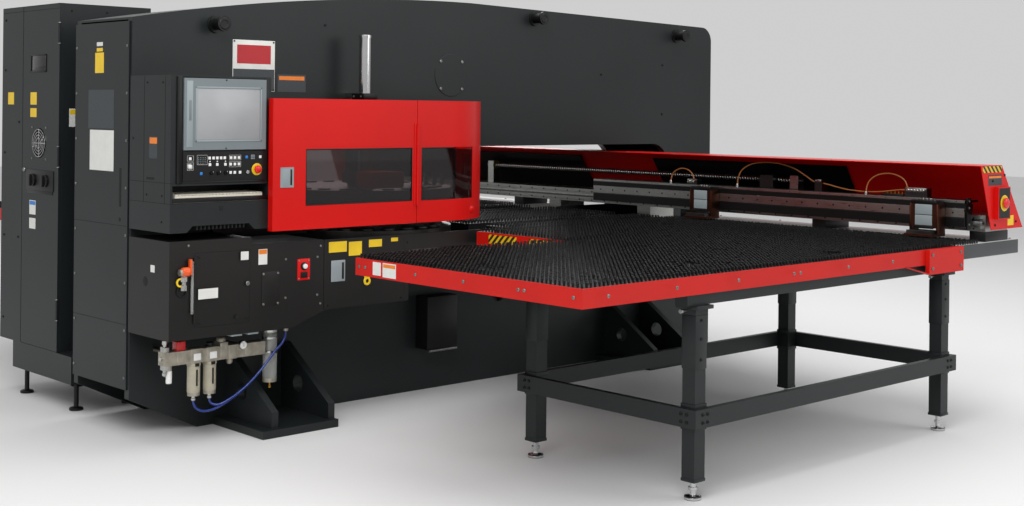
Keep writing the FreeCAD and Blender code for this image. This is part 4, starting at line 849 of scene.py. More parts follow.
@dataclass
class Console:
    """Screen, keys, buttons and keyboard of the operator's console."""

    labels: Labels
    body: str = "frame"
    key: float = 14.0
    stop_at: Span = (482, 1348)
    start_at: Span = (104, 1368)
    key_switch_at: Span = (427, 1335)
    glass_across: Span = (133, 494)
    glass_up: Span = (1496, 1749)
    rim_across: Span = (126, 502)
    rim_up: Span = (1488, 1757)
    rim_width: float = 8
    cap_pitch: float = 19
    cap_columns: int = 26
    cap_rows: int = 8
    white_top: tuple[float, ...] = (211, 233, 254, 275, 296, 332, 354, 377)
    white_middle: tuple[float, ...] = (213, 254, 300, 330, 354, 377)

    def build(self) -> None:
        """Builds the screen, the panel, the buttons, the keyboard and the housing's seams."""
        self.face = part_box("console_housing")[0].y * 1000
        self.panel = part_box("control_panel")[0].y * 1000
        self.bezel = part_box("console_screen")[0].y * 1000
        self.screen()
        self.keys()
        self.buttons()
        self.keyboard()
        self.housing()

    def screen(self) -> None:
        """Glass, its raised rim, the light strip with its grip, and the black surround."""
        depth = (self.bezel + 0.8, self.bezel + 5)
        glass = block("screen_glass", self.glass_across, depth, self.glass_up, 1.2)
        fixed(glass, DISPLAY, self.body, "smoked_pane")
        rim = [block("rim", x, (self.bezel - 2.5, self.bezel + 1), z, 1.4)
               for x, z in border(self.rim_across, self.rim_up, self.rim_width, self.rim_width)]
        strip = block("strip", (78, 112), (self.bezel - 1.6, self.bezel + 1), (1462, 1784), 1.4)
        fixed(joined("screen_rim", [*rim, strip]), BEZEL_LIGHT, self.body, "bezel_plastic")
        grip = block("screen_grip", (91, 103), (self.bezel - 4, self.bezel), (1592, 1690), 2)
        fixed(grip, BEZEL, self.body, "bezel_plastic")
        near = (self.face - 2.2, self.face + 0.5)
        bars = [block("bar", x, near, z, 1) for x, z in (
            ((30, 64), (1284, 1806)), ((530, 552), (1284, 1806)), ((64, 530), (1284, 1295)),
            ((64, 530), (1798, 1806)), ((64, 530), (1441, 1447)))]
        fixed(joined("screen_surround", bars), BLACK_PLASTIC, self.body, "panel_black")
        post = block("surround_post", (30, 58), (self.face - 9, self.face), (1286, 1804), 3)
        fixed(post, BLACK_PLASTIC, self.body, "panel_black")

    def cap(self, name: str, spots: Sequence[Span], finish: Finish, slot: str, wide: float) -> None:
        """Membrane keys with a soft crown.

        Args:
            name: The set's name.
            spots: Their centres as x and height.
            finish: Their finish.
            slot: The record's slot.
            wide: Their width in millimetres.
        """
        x, z = spots[0]
        half = wide / 2
        depth = (self.panel - 2.6, self.panel + 0.2)
        first = block(name, (x - half, x + half), depth, (z - half, z + half), 1.1)
        steps = [(a - x, 0, b - z) for a, b in spots]
        fixed(repeated(name, first, steps), finish, self.body, slot)

    def keys(self) -> None:
        """White, blue and grey keys, a lamp block and thin printed frames round the groups."""
        whites = [(x, 1408) for x in self.white_top] + [(x, 1376) for x in self.white_middle]
        whites += [(330, 1335), (354, 1335), (384, 1335), (104, 1406), (501, 1410)]
        self.cap("white_keys", whites, WHITE_KEY, "button_white", self.key)
        self.cap("blue_keys", [(421, 1410), (165, 1333)], BLUE_KEY, "hose_blue", self.key)
        self.cap("small_caps", [(213, 1391), (254, 1391), (300, 1391)], WHITE_KEY, "button_white", 6)
        lamps = [(150 + 12 * a, 1384 + 9 * b) for a in range(4) for b in range(4)]
        self.cap("lamps", lamps, GREY_HANDLE, "handle_grey", 4)
        grid = [(449 + 8 * a, 1402 + 8 * b) for a in range(3) for b in range(3)]
        self.cap("number_keys", grid, GREY_HANDLE, "handle_grey", 6)
        bars = []
        for x0, x1, z0, z1 in ((88, 122, 1394, 1420), (142, 198, 1376, 1422), (88, 122, 1350, 1386),
                               (322, 388, 1396, 1420), (322, 388, 1362, 1388)):
            for x, z in (((x0, x1), (z1, z1 + 1)), ((x0, x1), (z0, z0 + 1)), ((x0, x0 + 1), (z0, z1)),
                         ((x1, x1 + 1), (z0, z1 + 1))):
                bars.append(block("frame", x, (self.panel - 0.3, self.panel + 0.1), z, 0))
        fixed(joined("printed_frames", bars), PAPER, self.body, "button_white")
        x, z = self.key_switch_at
        switch = turned("key_switch", Facing.FRONT, (x, self.panel, z),
                        [(0, 5), (4, 5), (5, 7), (8, 7), (9.5, 5), (9.5, 0)], 24)
        fixed(switch, NICKEL, self.body, "bright_steel")

    def buttons(self) -> None:
        """Stop button with its yellow ring, start button and three selector knobs."""
        x, z = self.stop_at
        ring = turned("stop_ring", Facing.FRONT, (x, self.panel, z),
                      [(12, 0), (12, 0.7), (29.6, 0.7), (30, 0.4), (30, 0), (12, 0)], 40)
        fixed(ring, YELLOW, self.body, "lockout_orange")
        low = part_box("console_estop")[0].y * 1000
        crown = [(0, 0.2), (9, 0), (15, -1.2), (18.8, -4), (20, -8), (19.4, -12), (16, -15.4),
                 (11, -15.8), (11, -20.5), (0, -20.5)]
        mushroom = turned("stop_button", Facing.FRONT, (x, low, z), crown, 36)
        fixed(mushroom, STOP_RED, "console_estop", "stop_red", "console_estop")
        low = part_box("start_button")[0].y * 1000
        dome = [(0, 0.0), (8, -0.6), (10.4, -2.4), (10.8, -6), (10.8, -19), (0, -19)]
        x, z = self.start_at
        fixed(turned("start_cap", Facing.FRONT, (x, low, z), dome, 30), WHITE_KEY, "start_button",
              "button_white", "start_button")
        collar = turned("start_collar", Facing.FRONT, (x, self.panel, z),
                        [(11.4, 0), (11.4, 4), (14, 4), (15.4, 2.5), (15.4, 0), (11.4, 0)], 30)
        fixed(collar, NICKEL, self.body, "bright_steel")
        for index in (1, 2, 3):
            node = f"selector_{index}"
            near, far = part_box(node)
            middle = (near + far) / 2
            x = (middle.x - LEFT) * 1000
            z = middle.z * 1000
            y = near.y * 1000
            hub = turned("hub", Facing.FRONT, (x, y, z),
                         [(0, -6), (8.6, -6), (9.8, -8), (9.8, -20), (0, -20)], 24)
            grip = block("grip", (x - 2.6, x + 2.6), (y, y + 9), (z - 9.4, z + 9.4), 1.2)
            fixed(joined(f"{node}_knob", [hub, grip]), BLACK_PLASTIC, node, "knob_black", node)
            tick = block(f"{node}_tick", (x - 0.7, x + 0.7), (y - 0.3, y + 0.3), (z + 2, z + 9), 0)
            fixed(tick, PAPER, node, "button_white")

    def keyboard(self) -> None:
        """Rows of key caps over the keyboard's body."""
        low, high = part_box("keyboard_tray")
        top = high.z * 1000
        first = block("key_caps", (38, 53), (self.face + 16, self.face + 31), (top - 1, top + 6), 1.6)
        steps = [(self.cap_pitch * column, self.cap_pitch * row, 0.6 * row)
                 for column in range(self.cap_columns) for row in range(self.cap_rows)]
        fixed(repeated("key_caps", first, steps), IVORY, "keyboard", "keyboard_ivory")
        bed = block("key_bed", (34, 534), (self.face + 12, self.face + 170), (top - 1, top + 0.8), 0.4, 1)
        fixed(bed, SHADOW, "keyboard", "panel_black")
        near = low.y * 1000
        lip = block("keyboard_lip", (14, 552), (near - 3, near + 1), (top - 33, top - 10), 1)
        fixed(lip, BLACK_PLASTIC, "keyboard", "knob_black")

    def housing(self) -> None:
        """Seams, side slot, screws, card and the ribs in the notch under the housing."""
        seams = []
        for z in (1287, 1188):
            seams.append(block("seam", (-0.5, 0.3), (self.face + 2, FRONT), (z, z + 3), 0, 1))
            seams.append(block("seam", (0, 566), (self.face - 0.5, self.face + 0.3), (z, z + 3), 0, 1))
        for y in (-443, -647):
            seams.append(block("seam", (-0.5, 0.3), (y, y + 3), (1188, 1806), 0, 1))
        seams.append(block("slot", (-0.8, 0.3), (-545, -470), (1300, 1312), 2, 1))
        ribs = [block("rib", (150 + 22 * n, 158 + 22 * n), (self.face + 8, FRONT - 20), (1058, 1080), 1)
                for n in range(13)]
        latch = block("latch", (272, 292), (self.face - 1.2, self.face), (1150, 1172), 2)
        fixed(joined("console_seams", [*seams, *ribs, latch]), SHADOW, self.body, "panel_black")
        spots = [(0, y, z) for y in (-620, -470) for z in (1225, 1775)]
        spots += [(0, -620, 1100), (0, -330, 1500)]
        screws("console_screws", Facing.LEFT, spots, 5, self.body, SATIN_BLACK)
        spots = [(x, self.bezel, z) for x, z in ((298, 1790), (298, 1455))]
        screws("bezel_screws", Facing.FRONT, spots, 4, self.body, SATIN_BLACK)
        self.labels.card("console_card", Facing.LEFT, (-575, -495), (1405, 1510), 0, self.body, ORANGE, INK)


@dataclass
class LowerCovers:
    """Plates, screws, handle and shut-off valve on the covers below the console and the guard."""

    labels: Labels
    body: str = "frame"

    def build(self) -> None:
        """Builds the console's lower cover, the side cover and the valve."""
        self.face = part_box("lower_console")[0].y * 1000
        self.lower_console()
        self.side_cover()
        self.valve()

    def lower_console(self) -> None:
        """Fields, service panel, red switch plate and screws on the lower console."""
        at = self.face
        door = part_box("lower_door")[0].y * 1000
        self.labels.face("square_field", Facing.FRONT, (390, 435), (898, 940), door, PAPER, "lower_door")
        self.labels.card("socket_card", Facing.FRONT, (500, 552), (866, 944), at, self.body, ORANGE, PAPER)
        self.labels.card("door_card", Facing.FRONT, (152, 262), (722, 772), door, "lower_door", PAPER, PAPER)
        panel = block("service_panel", (520, 626), (at - 2.5, at + 0.3), (655, 828), 1.5)
        fixed(panel, BROWN_BLACK, self.body, "charcoal")
        spots = [(x, at - 2.5, z) for x in (530, 616) for z in (665, 818)]
        spots += [(x, at, z) for x in (664, 860) for z in (687, 884)] + [(103, at, 985)]
        spots += [(880, at, 940), (880, at, 640)]
        screws("lower_screws", Facing.FRONT, spots, 6, self.body)
        plate = block("switch_plate", (734, 812), (at - 4, at + 0.3), (770, 880), 2)
        fixed(plate, RED, self.body, "red_paint")
        screws("switch_plate_screws", Facing.FRONT, [(x, at - 4, z) for x in (743, 803) for z in (779, 871)],
               4, self.body)
        collar = turned("switch_collar", Facing.FRONT, (773, at - 4, 842),
                        [(0, 4), (17, 4), (21, 2.5), (21, 0)], 32)
        base = block("switch_base", (752, 794), (at - 9, at - 4), (782, 812), 2)
        fixed(joined("switch_base", [base, collar]), BLACK_PLASTIC, self.body, "knob_black")
        knob = [(0, 15), (9, 15), (12.5, 13), (13.5, 9), (12.5, 4), (10, 0)]
        fixed(turned("switch_knob", Facing.FRONT, (773, at - 8, 842), knob, 32), WHITE_KEY, self.body,
              "button_white")
        hole = turned("cable_hole", Facing.FRONT, (373, door, 616), [(0, 0.8), (9, 0.8), (11, 0)], 24)
        fixed(hole, SHADOW, "lower_door", "panel_black")
        spots = [(158, door, 925), (432, door, 605), (158, door, 605)]
        screws("lower_door_screws", Facing.FRONT, spots, 5, "lower_door", SATIN_BLACK)
        latch = turned("lower_door_lock", Facing.FRONT, (432, door, 780),
                       [(0, 2), (3, 2), (4, 4), (9, 4), (11, 2.4), (11, 0)], 28)
        fixed(latch, ZINC, "lower_door", "bright_steel")
        side = turned("side_port", Facing.LEFT, (0, -470, 800), [(0, 0.8), (20, 0.8), (24, 0)], 32)
        fixed(side, SHADOW, self.body, "panel_black")
        self.labels.face("side_white_field", Facing.LEFT, (-560, -520), (850, 885), 0, PAPER, self.body)
        small = [block("plate", (x, x + 62), (at + 4, at + 70), (520, 529.5), 1) for x in (350, 445)]
        fixed(joined("under_plates", small), BEZEL_LIGHT, self.body, "bezel_plastic")

    def side_cover(self) -> None:
        """Yellow fields, flush grey handle, seam and lifting ring on the side cover."""
        at = self.face
        for index, (x0, x1, z0, z1) in enumerate(((932, 1048, 900, 956), (1061, 1147, 876, 950),
                                                 (1194, 1282, 914, 954), (1345, 1392, 936, 956))):
            self.labels.face(f"yellow_field_{index}", Facing.FRONT, (x0, x1), (z0, z1), at, YELLOW, self.body)
        shell = block("cover_handle", (945, 1035), (at - 7, at), (746, 858), 4, 3)
        fixed(shell, GREY_HANDLE, self.body, "handle_grey")
        slot = block("cover_handle_slot", (1012, 1026), (at - 8, at - 5), (758, 846), 2)
        fixed(slot, BLACK_PLASTIC, self.body, "knob_black")
        seam = block("side_seam", (1434, 1437), (at - 0.6, at + 0.2), (612, 966), 0, 1)
        fixed(seam, SHADOW, self.body, "panel_black")
        spots = [(x, at, 926) for x in (1460, 1980)] + [(x, at, 625) for x in (930, 1420)]
        screws("side_cover_screws", Facing.FRONT, spots, 6, self.body, SATIN_BLACK)
        loop = turned("lifting_ring", Facing.FRONT, (1181, at - 2, 735),
                      [(11, 0), (11, 6), (21, 6), (24, 3), (21, 0), (11, 0)], 32)
        tab = block("ring_tab", (1162, 1200), (at - 8, at), (752, 800), 3)
        fixed(joined("lifting_ring", [loop, tab]), YELLOW, self.body, "lockout_orange")

    def valve(self) -> None:
        """Ball valve body, yellow hasp and clear drain tube beside the lockout lever."""
        at = self.face
        hexagon = [(9, -58), (15, -55), (15, -30), (11, -28), (11, -14), (17, -12), (17, 10), (13, 13),
                   (13, 30), (9, 32)]
        fixed(turned("valve_body", Facing.UP, (70, at - 17, 828), hexagon, 6), NICKEL, self.body,
              "cast_aluminium")
        cover = turned("lockout_cover", Facing.LEFT, (96, at - 17, 862),
                       [(0, 40), (16, 40), (21, 36), (23, 28), (23, 4), (20, 0), (0, 0)], 28)
        fixed(cover, LOCK_ORANGE, self.body, "lockout_orange")
        hasp = turned("lockout_hasp", Facing.FRONT, (52, at - 12, 812),
                      [(14, 0), (14, 5), (22, 5), (22, 0), (14, 0)], 28)
        fixed(hasp, YELLOW, self.body, "lockout_orange")
        tube = turned("drain_tube", Facing.UP, (119, at - 9.5, 667),
                      [(0, 0), (7.4, 0), (7.4, 236), (0, 236)], 20)
        fixed(tube, CLEAR, self.body, "smoked_pane")
        end = [(0, 0), (8.6, 0), (9, 2), (9, 12), (0, 13)]
        ends = [turned("end", Facing.UP, (119, at - 9.5, z), end, 20) for z in (655, 898)]
        fixed(joined("drain_tube_ends", ends), ZINC, self.body, "bright_steel")
        cable = turned("valve_lead", Facing.FRONT, (64, at - 3, 768),
                       [(24, 0), (24, 4), (28, 4), (28, 0), (24, 0)], 28)
        fixed(cable, BLACK_PLASTIC, self.body, "knob_black")


@dataclass
class Guard:
    """Gaskets, hinge rings, handle details and the parts behind the panes of the red guard."""

    body: str = "guard_door"
    face: float = -750.0
    barrel: float = 8
    hinge_x: float = 1480
    door_seal: Span = (747, 1448)
    fixed_seal: Span = (1512, 1742)
    seal_up: Span = (1156, 1447)
    seal_side: float = 5
    seal_level: float = 6

    def build(self) -> None:
        """Builds the gaskets, the hinges, the handle's face, the inside, and the mat and dark sheets of
        painted shade.
        """
        self.gaskets()
        self.hinges()
        self.handle()
        self.inside()
        self.painted_shade_sheets()

    def gaskets(self) -> None:
        """Black seals round the door's pane and on three sides of the fixed pane."""
        depth = (self.face - 0.8, self.face + 4.4)
        for name, across, sides, body in (("door_gasket", self.door_seal, 4, self.body),
                                          ("fixed_gasket", self.fixed_seal, 3, "frame")):
            bars = [block("gasket", x, depth, z, 0.8)
                    for x, z in border(across, self.seal_up, self.seal_side, self.seal_level)[:sides]]
            fixed(joined(name, bars), BLACK_PLASTIC, body, "knob_black")

    def hinges(self) -> None:
        """Rings on the hinge barrel, the screws beside it and the catch."""
        ring = [(8, 0), (9.2, 0.6), (9.2, 3.4), (8, 4)]
        rings = [turned("ring", Facing.UP, (self.hinge_x, self.face - self.barrel, z), ring, 24)
                 for z in (1130, 1240, 1352, 1464, 1576)]
        fixed(joined("hinge_rings", rings), RED, self.body, "red_paint")
        screws("hinge_screws", Facing.FRONT, [(1465, self.face - 4, z) for z in (1180, 1300, 1410, 1530)], 4,
               self.body, RED)
        knob = turned("guard_catch", Facing.FRONT, (1905, -720, 1090),
                      [(0, 8), (14, 8), (19, 5), (20, 0)], 28)
        fixed(knob, RED, "frame", "red_paint")

    def handle(self) -> None:
        """The finger slot and the light edge of the flush handle."""
        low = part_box("guard_handle")[0].y * 1000
        slot = block("handle_slot", (650, 662), (low - 0.5, low + 3), (1264, 1346), 2)
        edge = block("handle_edge", (606, 646), (low - 0.8, low + 1), (1262, 1348), 3, 3)
        fixed(slot, BLACK_PLASTIC, "guard_handle", "knob_black")
        fixed(edge, BEZEL_LIGHT, "guard_handle", "handle_grey")

    def inside(self) -> None:
        """The tool changer, its arm and post, and the ram's bracket and rods."""
        head = block("tool_changer", (1250, 1480), (-640, -500), (1222, 1312), 8, 3)
        fixed(head, RED, "frame", "red_paint")
        arm = block("changer_arm", (1300, 1420), (-500, -302), (1240, 1300), 6)
        post = block("changer_post", (1320, 1400), (-330, -302), (1240, 1500), 4)
        bracket = block("ram_bracket", (1780, 1990), (-460, -302), (1290, 1480), 8)
        fixed(joined("guard_inside", [arm, post, bracket]), SATIN_BLACK, "frame", "black_paint")
        rod = [(0, 0), (12, 0), (12, 90), (18, 92), (18, 110), (0, 112)]
        rods = [turned("rod", Facing.UP, (x, -430, 1215), rod, 16) for x in (1810, 1870, 1930)]
        fixed(joined("ram_rods", rods), NICKEL, "frame", "bright_steel")

    def painted_shade_sheets(self) -> None:
        """Painted shade: a near-black mat that hides the sheen on the lower console's covers, and dark sheets
        over the gaps under the guard, in the throat and at the door's edge.
        """
        # painted shade: a near-black mat over the lower console's covers, hiding the sheen on their tops
        mat = block("painted_shade_mat", (460, 898), (-698, -304), (969, 971.5), 0.5, 1)
        fixed(mat, SHADOW, "frame", "black_paint")
        # painted shade: a dark sheet in the throat, where the gap shows only shade
        sheet = block("throat_painted_shade_sheet", (3565, 4105), (250, 254), (802, 985), 1)
        fixed(sheet, SATIN_BLACK, "frame", "black_paint")
        # painted shade: a dark sheet in the gap under the guard, where only shade shows
        screen = block("gap_painted_shade_sheet", (462, 1050), (-330, -322), (972, 1046), 1)
        fixed(screen, SATIN_BLACK, "frame", "black_paint")
        # painted shade: a dark strip at the door's edge, where the gap shows only shade
        back = block("door_edge_painted_shade_sheet", (547.4, 550.6), (self.face + 4, self.face + 39), (1040, 1700), 1)
        fixed(back, BLACK_PLASTIC, self.body, "knob_black")


@dataclass
class Tables:
    """Bristle fields, skirt screws, striped fields and edge trims of the moving tables."""

    labels: Labels
    pitch: float = 25.0
    tuft_radius: float = 6.2
    lost_share: float = 0.012
    bald_share: float = 0.0012
    bald_reach: float = 0.045
    seed: int = 7
    outer_ends: Span = (2908, 1482)
    inner_ends: Span = (1457, 762)
    strip_ends: Span = (708, 502)
    outer_x: Span = (552, 3390)
    inner_x: Span = (1944, 3390)
    deck_strip_x: Span = (3415, 3615)
    centre_x: Span = (2242, 3550)
    centre_half: float = 318
    inner_skirt_x: float = 1924
    corner_block: Span = (3060, 3400)
    skirt_screw_xs: tuple[float, ...] = (657, 1073, 1484, 1891, 1940, 2326, 2712)
    skirt_screw_ys: tuple[float, ...] = (-1495, -1540, -1904, -2226, -2566, -2601, -2880)
    deck_end: float = 2903
    trim_up: Span = (887, 961)

    def build(self) -> None:
        """Builds the bristle fields first, then everything on the skirts."""
        seeded = random.Random(self.seed)
        low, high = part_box("table_brushes")
        up = (low.z * 1000, high.z * 1000)
        for side, sign in (("front", -1), ("rear", 1)):
            outer, inner, strip = [sorted((sign * far, sign * near)) for far, near in
                                   (self.outer_ends, self.inner_ends, self.strip_ends)]
            for part, x, y in (("outer", self.outer_x, outer), ("inner", self.inner_x, inner),
                               ("edge", self.deck_strip_x, outer), ("edge_inner", self.deck_strip_x, inner)):
                self.field(f"tufts_{side}_{part}", x, y, up, "carriage_base", seeded, "table_brushes")
            self.field(f"tufts_{side}_strip", self.centre_x, strip, up, "frame", seeded, "centre_brushes")
        half = self.centre_half
        self.field("tufts_centre", self.centre_x, (-half, half), up, "frame", seeded, "centre_brushes")
        self.skirts()
        self.decks()

    def field(self, name: str, x: Span, y: Sequence[float], z: Span, body: str, seeded: random.Random,
              node: str) -> None:
        """A field of bristle tufts, one modelled and the rest copied by arrays.

        Args:
            name: The piece's name.
            x: The first and last tuft's centre along x.
            y: The first and last tuft's centre along y.
            z: The tufts' foot and top.
            body: The body that they ride on.
            seeded: The source of the small differences between tufts.
            node: The CAD node that the field stands for.
        """
        across = int((x[1] - x[0]) // self.pitch) + 1
        along = int((y[1] - y[0]) // self.pitch) + 1
        foot = place(x[0], y[0], z[0])
        height = (z[1] - z[0]) / 1000
        deselect()
        bpy.ops.mesh.primitive_cone_add(vertices=5, radius1=self.tuft_radius * 0.72 / 1000,
                                        radius2=self.tuft_radius / 1000, depth=height, end_fill_type="NGON",
                                        location=foot + Vector((0, 0, height / 2)))
        piece = bpy.context.object
        bpy.ops.object.transform_apply(location=True, rotation=True, scale=True)
        per_tuft = len(piece.data.vertices)
        for axis, count in ((0, across), (1, along)):
            array = piece.modifiers.new("rows", "ARRAY")
            array.use_relative_offset = False
            array.use_constant_offset = True
            array.constant_offset_displace = [0, 0, 0]
            array.constant_offset_displace[axis] = self.pitch / 1000
            array.count = count
            bpy.ops.object.modifier_apply(modifier=array.name)
        work = bmesh.new()
        work.from_mesh(piece.data)
        work.verts.ensure_lookup_table()
        lost = []
        bald = [Vector((seeded.uniform(foot.x, foot.x + across * self.pitch / 1000),
                        seeded.uniform(foot.y, foot.y + along * self.pitch / 1000), foot.z))
                for _ in range(int(across * along * self.bald_share))]
        for first in range(0, len(work.verts), per_tuft):
            tuft = work.verts[first:first + per_tuft]
            near_bald = any((tuft[0].co - spot).length < self.bald_reach for spot in bald)
            if seeded.random() < (0.8 if near_bald else self.lost_share):
                lost += tuft
                continue
            lean = Vector((seeded.uniform(-1, 1), seeded.uniform(-1, 1), 0)) * 0.0022
            turn = Matrix.Rotation(seeded.uniform(0, 1.2), 3, "Z")
            middle = sum((v.co for v in tuft), Vector()) / len(tuft)
            drop = seeded.uniform(0, 0.0025)
            for vert in tuft:
                share = (vert.co.z - foot.z) / height
                spun = turn @ (vert.co - middle)
                vert.co = middle + spun + lean * share
                if share > 0.5:
                    vert.co.z -= drop
        bmesh.ops.delete(work, geom=lost, context="VERTS")
        work.to_mesh(piece.data)
        work.free()
        fixed(named(piece, name), BRISTLE, body, "brush_nylon", node)

    def skirts(self) -> None:
        """Countersunk screws, plain fields and striped tape on the red edge plates."""
        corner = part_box("table_skirts")[0]
        out, left = corner.y * 1000, (corner.x - LEFT) * 1000
        body = "carriage_base"
        for side, sign in (("front", 1), ("rear", -1)):
            facing = Facing.FRONT if sign > 0 else Facing.BACK
            spots = [(x, sign * out, 930) for x in self.skirt_screw_xs]
            screws(f"skirt_screws_{side}", facing, spots, 8, body)
            ends = [(left, sign * y, 927) for y in self.skirt_screw_ys]
            screws(f"skirt_end_screws_{side}", Facing.LEFT, ends, 8, body)
        at = left
        self.labels.face("skirt_white_round", Facing.LEFT, (-1655, -1595), (897, 957), at, PAPER, body)
        self.labels.card("skirt_card", Facing.LEFT, (-1765, -1668), (893, 958), at, body, ORANGE, PAPER)
        for index, across in enumerate(((-1080, -850), (-1400, -1180))):
            self.labels.face(f"striped_field_{index}", Facing.LEFT, across, (905, 955), self.inner_skirt_x,
                             HAZARD, body)
        x0, x1 = self.corner_block
        bolts = [(x, -2950, z) for x in (x0 + 30, x1 - 30) for z in (868, 938)]
        screws("corner_block_screws", Facing.FRONT, bolts, 9, body)
        gusset = cut_sheet("corner_gusset", [(x0, -2949, 840), (x0, -2927, 840), (x0 - 190, -2927, 884),
                                             (x0 - 190, -2932, 884)], (0, 0, 5), 0.6)
        fixed(gusset, SKIRT_RED, body, "red_paint")

    def decks(self) -> None:
        """Dark edge trims and small screws of the plain decks."""
        body = "carriage_base"
        trims = []
        for sign in (-1, 1):
            outer = sorted((sign * 2900, sign * self.deck_end))
            trims.append(block("trim", (3403, 4082), outer, self.trim_up, 0.8))
            side = sorted((sign * 755, sign * self.deck_end))
            trims.append(block("trim", (4079, 4083), side, self.trim_up, 0.8))
        fixed(joined("deck_trims", trims), EDGE_GREY, body, "charcoal")
        spots = [(x, sign * y, 965) for sign in (-1, 1) for x in (3430, 3700, 4050)
                 for y in (820, 1300, 1800, 2300, 2870)]
        screws("deck_screws", Facing.UP, spots, 7, body)


@dataclass
class Legs:
    """Sleeves, top plates, bolts and levelling feet of the table stands."""

    half: float = 35.0
    xs: Span = (1290, 3300)
    ys: tuple[float, ...] = (-2867, -1900, 1900, 2867)
    brace_up: Span = (338, 372)
    brace_face: float = -2932
    brace_end: float = 1225
    cabinet_feet: tuple[Span, ...] = ((110, 480), (420, 480), (110, 1100), (420, 1100))

    def build(self) -> None:
        """Builds the fittings of one leg in place and copies them to the other seven."""
        spots = [(x, y) for x in self.xs for y in self.ys]
        x, y = spots[0]
        half = self.half
        steps = [(a - x, b - y, 0) for a, b in spots]
        parts = []
        for low, high, more in ((560, 790, 3.2), (300, 322, 5), (388, 412, 5), (78, 92, 3)):
            parts.append(block("sleeve", (x - half - more, x + half + more),
                               (y - half - more, y + half + more), (low, high), 2))
        parts.append(block("top_plate", (x - 56, x + 56), (y - 60, y + 60), (818, 834.5), 2))
        fixed(repeated("leg_sleeves", joined("leg_sleeves", parts), steps), CHARCOAL, "frame", "charcoal")
        foot = [(0, 0.2), (36, 0.2), (37.8, 2), (37.8, 10), (33, 15), (20, 18), (14, 20), (13.2, 24),
                (13.2, 40), (20, 40), (20, 52), (13.2, 52), (13.2, 78)]
        pad = turned("levelling_feet", Facing.UP, (x, y, 0), foot, 28)
        fixed(repeated("levelling_feet", pad, steps), CHROME, "frame", "chrome")
        self.bolts(y)
        feet = [turned("cabinet_foot", Facing.UP, (a, b, 0), foot[:-4] + [(13.2, 150)], 24)
                for a, b in self.cabinet_feet]
        fixed(joined("cabinet_feet", feet), SATIN_BLACK, "frame", "black_paint")

    def bolts(self, front: float) -> None:
        """Bolts of the braces and the sleeves, and the stops on the front legs.

        Args:
            front: The front legs' middle along y.
        """
        rows = [(x + dx, self.brace_face, z) for x in self.xs for dx in (-16, 16) for z in self.brace_up]
        screws("brace_bolts", Facing.FRONT, rows, 8, "frame", SATIN_BLACK)
        left = [(self.brace_end, y, z) for y in (-2882, -2850, -1915, -1885) for z in self.brace_up]
        screws("brace_end_bolts", Facing.LEFT, left, 8, "frame", SATIN_BLACK)
        sleeve = [(x, front - 38.2, z) for x in self.xs for z in (600, 690, 770)]
        screws("sleeve_bolts", Facing.FRONT, sleeve, 7, "frame", SATIN_BLACK)
        stop = [(0, 40), (9, 40), (11, 36), (11, 30), (6, 30), (6, 0)]
        stops = [turned("stop", Facing.LEFT, (x - 56, front, 812), stop, 16) for x in self.xs]
        fixed(joined("stop_bolts", stops), ZINC, "frame", "bright_steel")


